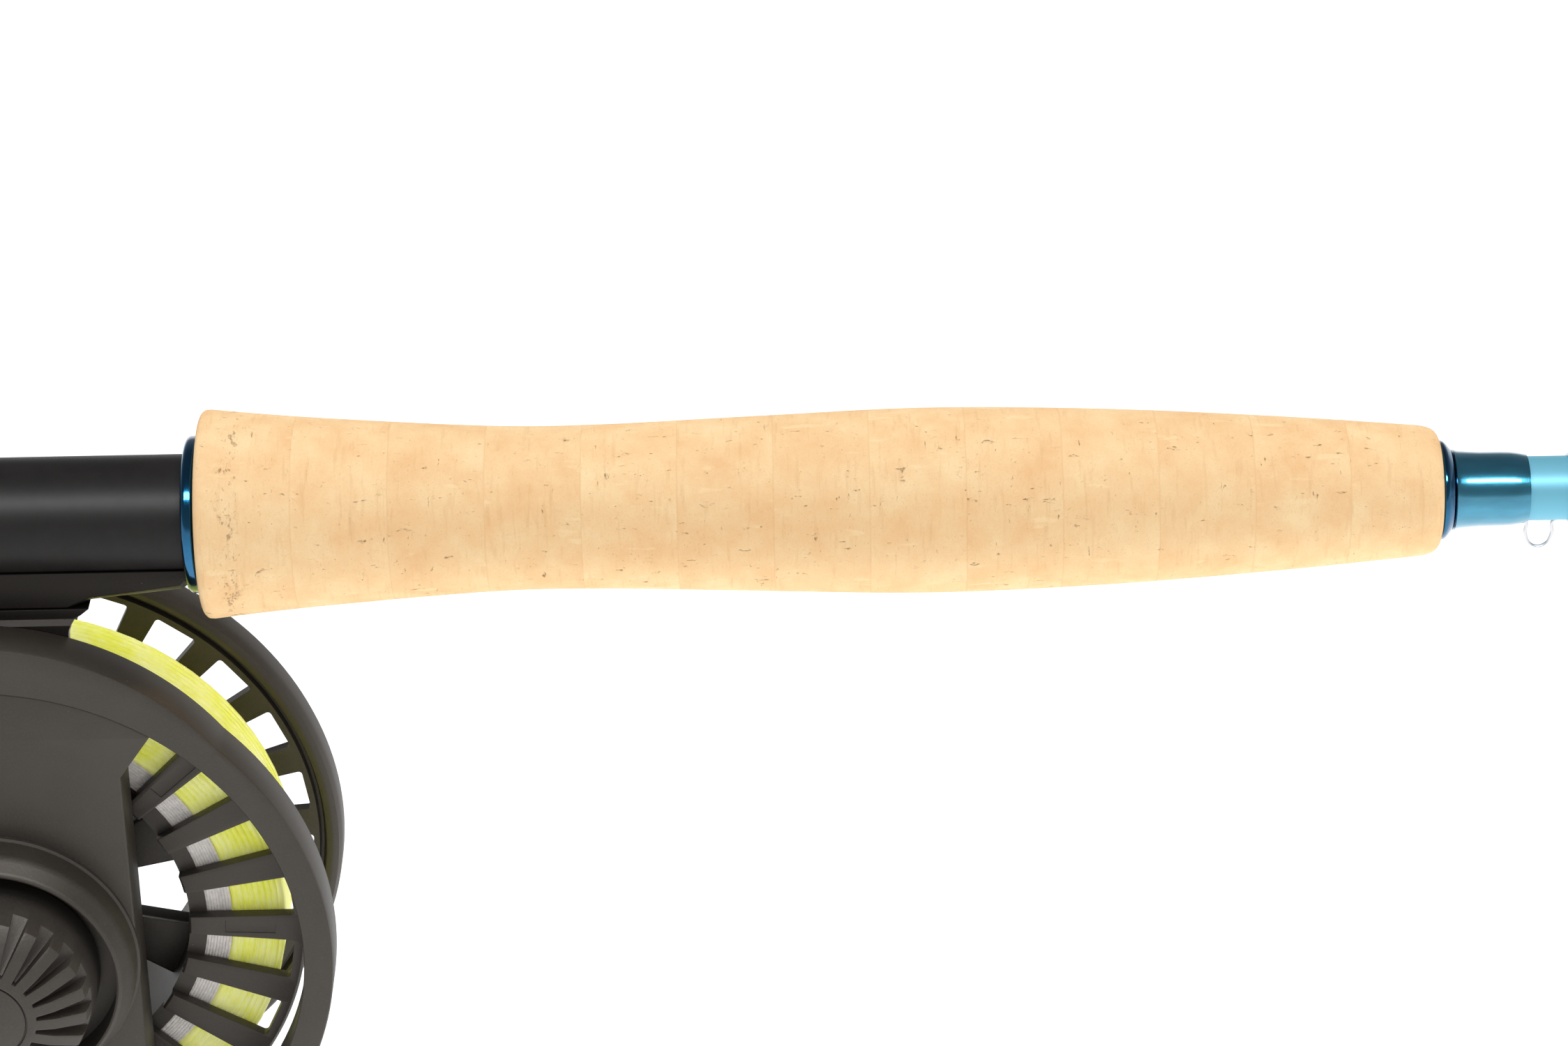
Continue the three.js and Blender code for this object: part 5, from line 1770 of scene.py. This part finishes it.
@dataclass
class Studio:
    """A bright table-top studio: white floor, even surround and soft lights."""

    lens: float = 110.5
    sensor: float = 36.0
    rise: float = 28.5
    roll: float = 1.12
    reach: float = 634.19
    drop: float = 2.66
    grip_share: float = 0.4699
    floor_drop: float = 700.0
    floor_size: float = 16.0
    floor_glow: float = 0.82
    surround: float = 1.0

    def build(self) -> None:
        """Adds the camera, the lights, the surround and the floor."""
        self.camera()
        self.world()
        self.floor()
        self.light("key_softbox", (120, -820, 1180), (150, 0, -20), (1700, 260), 24, lit=False)
        self.light("top_fill", (150, 100, 1400), (150, 0, 0), (1700, 1300), 24, mirrored=False)
        self.light("front_fill", (150, -1500, 500), (120, 0, -40), (1600, 1300), 3.4, mirrored=False)
        self.light("side_fill", (900, -300, -160), (90, 0, -60), (500, 500), 1.4, mirrored=False)
        bpy.context.scene.view_settings.view_transform = "Standard"

    def camera(self) -> None:
        """Places the camera above and in front of the grip, tipped a little so that the rod climbs."""
        rise, roll = math.radians(self.rise), math.radians(self.roll)
        ahead = Vector((0, math.cos(rise), -math.sin(rise)))
        flat_up = Vector((0, math.sin(rise), math.cos(rise)))
        right = math.cos(roll) * Vector((1, 0, 0)) - math.sin(roll) * flat_up
        up = math.sin(roll) * Vector((1, 0, 0)) + math.cos(roll) * flat_up
        along = low("cork_ring_01").x + self.grip_share * (high("cork_ring_13").x - low("cork_ring_01").x)
        place = Vector((along, 0, 0)) - self.reach * ahead - self.drop * up
        data = bpy.data.cameras.new("studio_camera")
        data.lens = self.lens
        data.sensor_width = self.sensor
        data.clip_end = 100
        camera = bpy.data.objects.new("studio_camera", data)
        bpy.context.scene.collection.objects.link(camera)
        turn = Matrix((right, up, -ahead)).transposed()
        camera.matrix_world = Matrix.Translation(place * MM) @ turn.to_4x4()
        bpy.context.scene.camera = camera

    def world(self) -> None:
        """Sets a white surround that darkens overhead."""
        world = bpy.data.worlds.new("surround")
        bpy.context.scene.world = world
        world.use_nodes = True
        tree = world.node_tree
        source = tree.nodes.new("ShaderNodeTexCoord")
        split = tree.nodes.new("ShaderNodeSeparateXYZ")
        ramp = tree.nodes.new("ShaderNodeValToRGB")
        tree.links.new(source.outputs["Generated"], split.inputs[0])
        tree.links.new(split.outputs["Z"], ramp.inputs["Fac"])
        stops = ramp.color_ramp.elements
        stops[0].position, stops[0].color = 0.0, (1, 1, 1, 1)
        stops[1].position, stops[1].color = 0.14, (0.3, 0.3, 0.3, 1)
        stops.new(0.7).color = (0.13, 0.13, 0.14, 1)
        background = tree.nodes["Background"]
        tree.links.new(ramp.outputs["Color"], background.inputs["Color"])
        background.inputs["Strength"].default_value = self.surround

    def floor(self) -> None:
        """Lays the white table far enough below that no shadow shows."""
        Bench.clear()
        bpy.ops.mesh.primitive_plane_add(size=self.floor_size, location=(1.2, 0, -self.floor_drop * MM))
        piece = bpy.context.object
        piece.name = "floor"
        shader = Shader("white_floor")
        paper = shader.noise(shader.place(), 0.01, 2)
        shade = shader.mix(paper, (0.86, 0.86, 0.86), (0.9, 0.9, 0.9))
        shader.link(shade, shader.surface.inputs["Base Color"])
        shader.value("Roughness", 0.9)
        shader.value("Emission Color", (1, 1, 1, 1))
        shader.value("Emission Strength", self.floor_glow)
        piece.data.materials.append(shader.material)

    @staticmethod
    def light(name: str, place: Sequence[float], target: Sequence[float], size: Sequence[float],
              power: float, mirrored: bool = True, lit: bool = True) -> None:
        """Adds a soft box.

        Args:
            name: the light's name.
            place: where it stands, in millimetres.
            target: the point that it faces.
            size: its width and height.
            power: its power in watts.
            mirrored: False to keep it out of glossy surfaces.
            lit: False to keep it off matt surfaces.
        """
        data = bpy.data.lights.new(name, "AREA")
        data.shape = "RECTANGLE"
        data.size, data.size_y = size[0] * MM, size[1] * MM
        data.energy = power
        lamp = bpy.data.objects.new(name, data)
        bpy.context.scene.collection.objects.link(lamp)
        lamp.location = Vector(place) * MM
        facing = Vector(target) - Vector(place)
        lamp.rotation_euler = facing.to_track_quat("-Z", "Y").to_euler()
        lamp.visible_glossy = mirrored
        lamp.visible_diffuse = lit


def main() -> None:
    logging.basicConfig(level=logging.INFO, format="%(name)s: %(message)s")
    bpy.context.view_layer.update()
    assemblies = [
        Studio(), Grip(), ReelSeat(), Blank(), ReelFrame(), DragKnob(), Spool(), Winding(), Handle(),
        InnerParts(),
    ]
    for assembly in assemblies:
        LOG.info("building %s", type(assembly).__name__)
        assembly.build()
    Bench.clear()


if __name__ == "__main__":
    main()
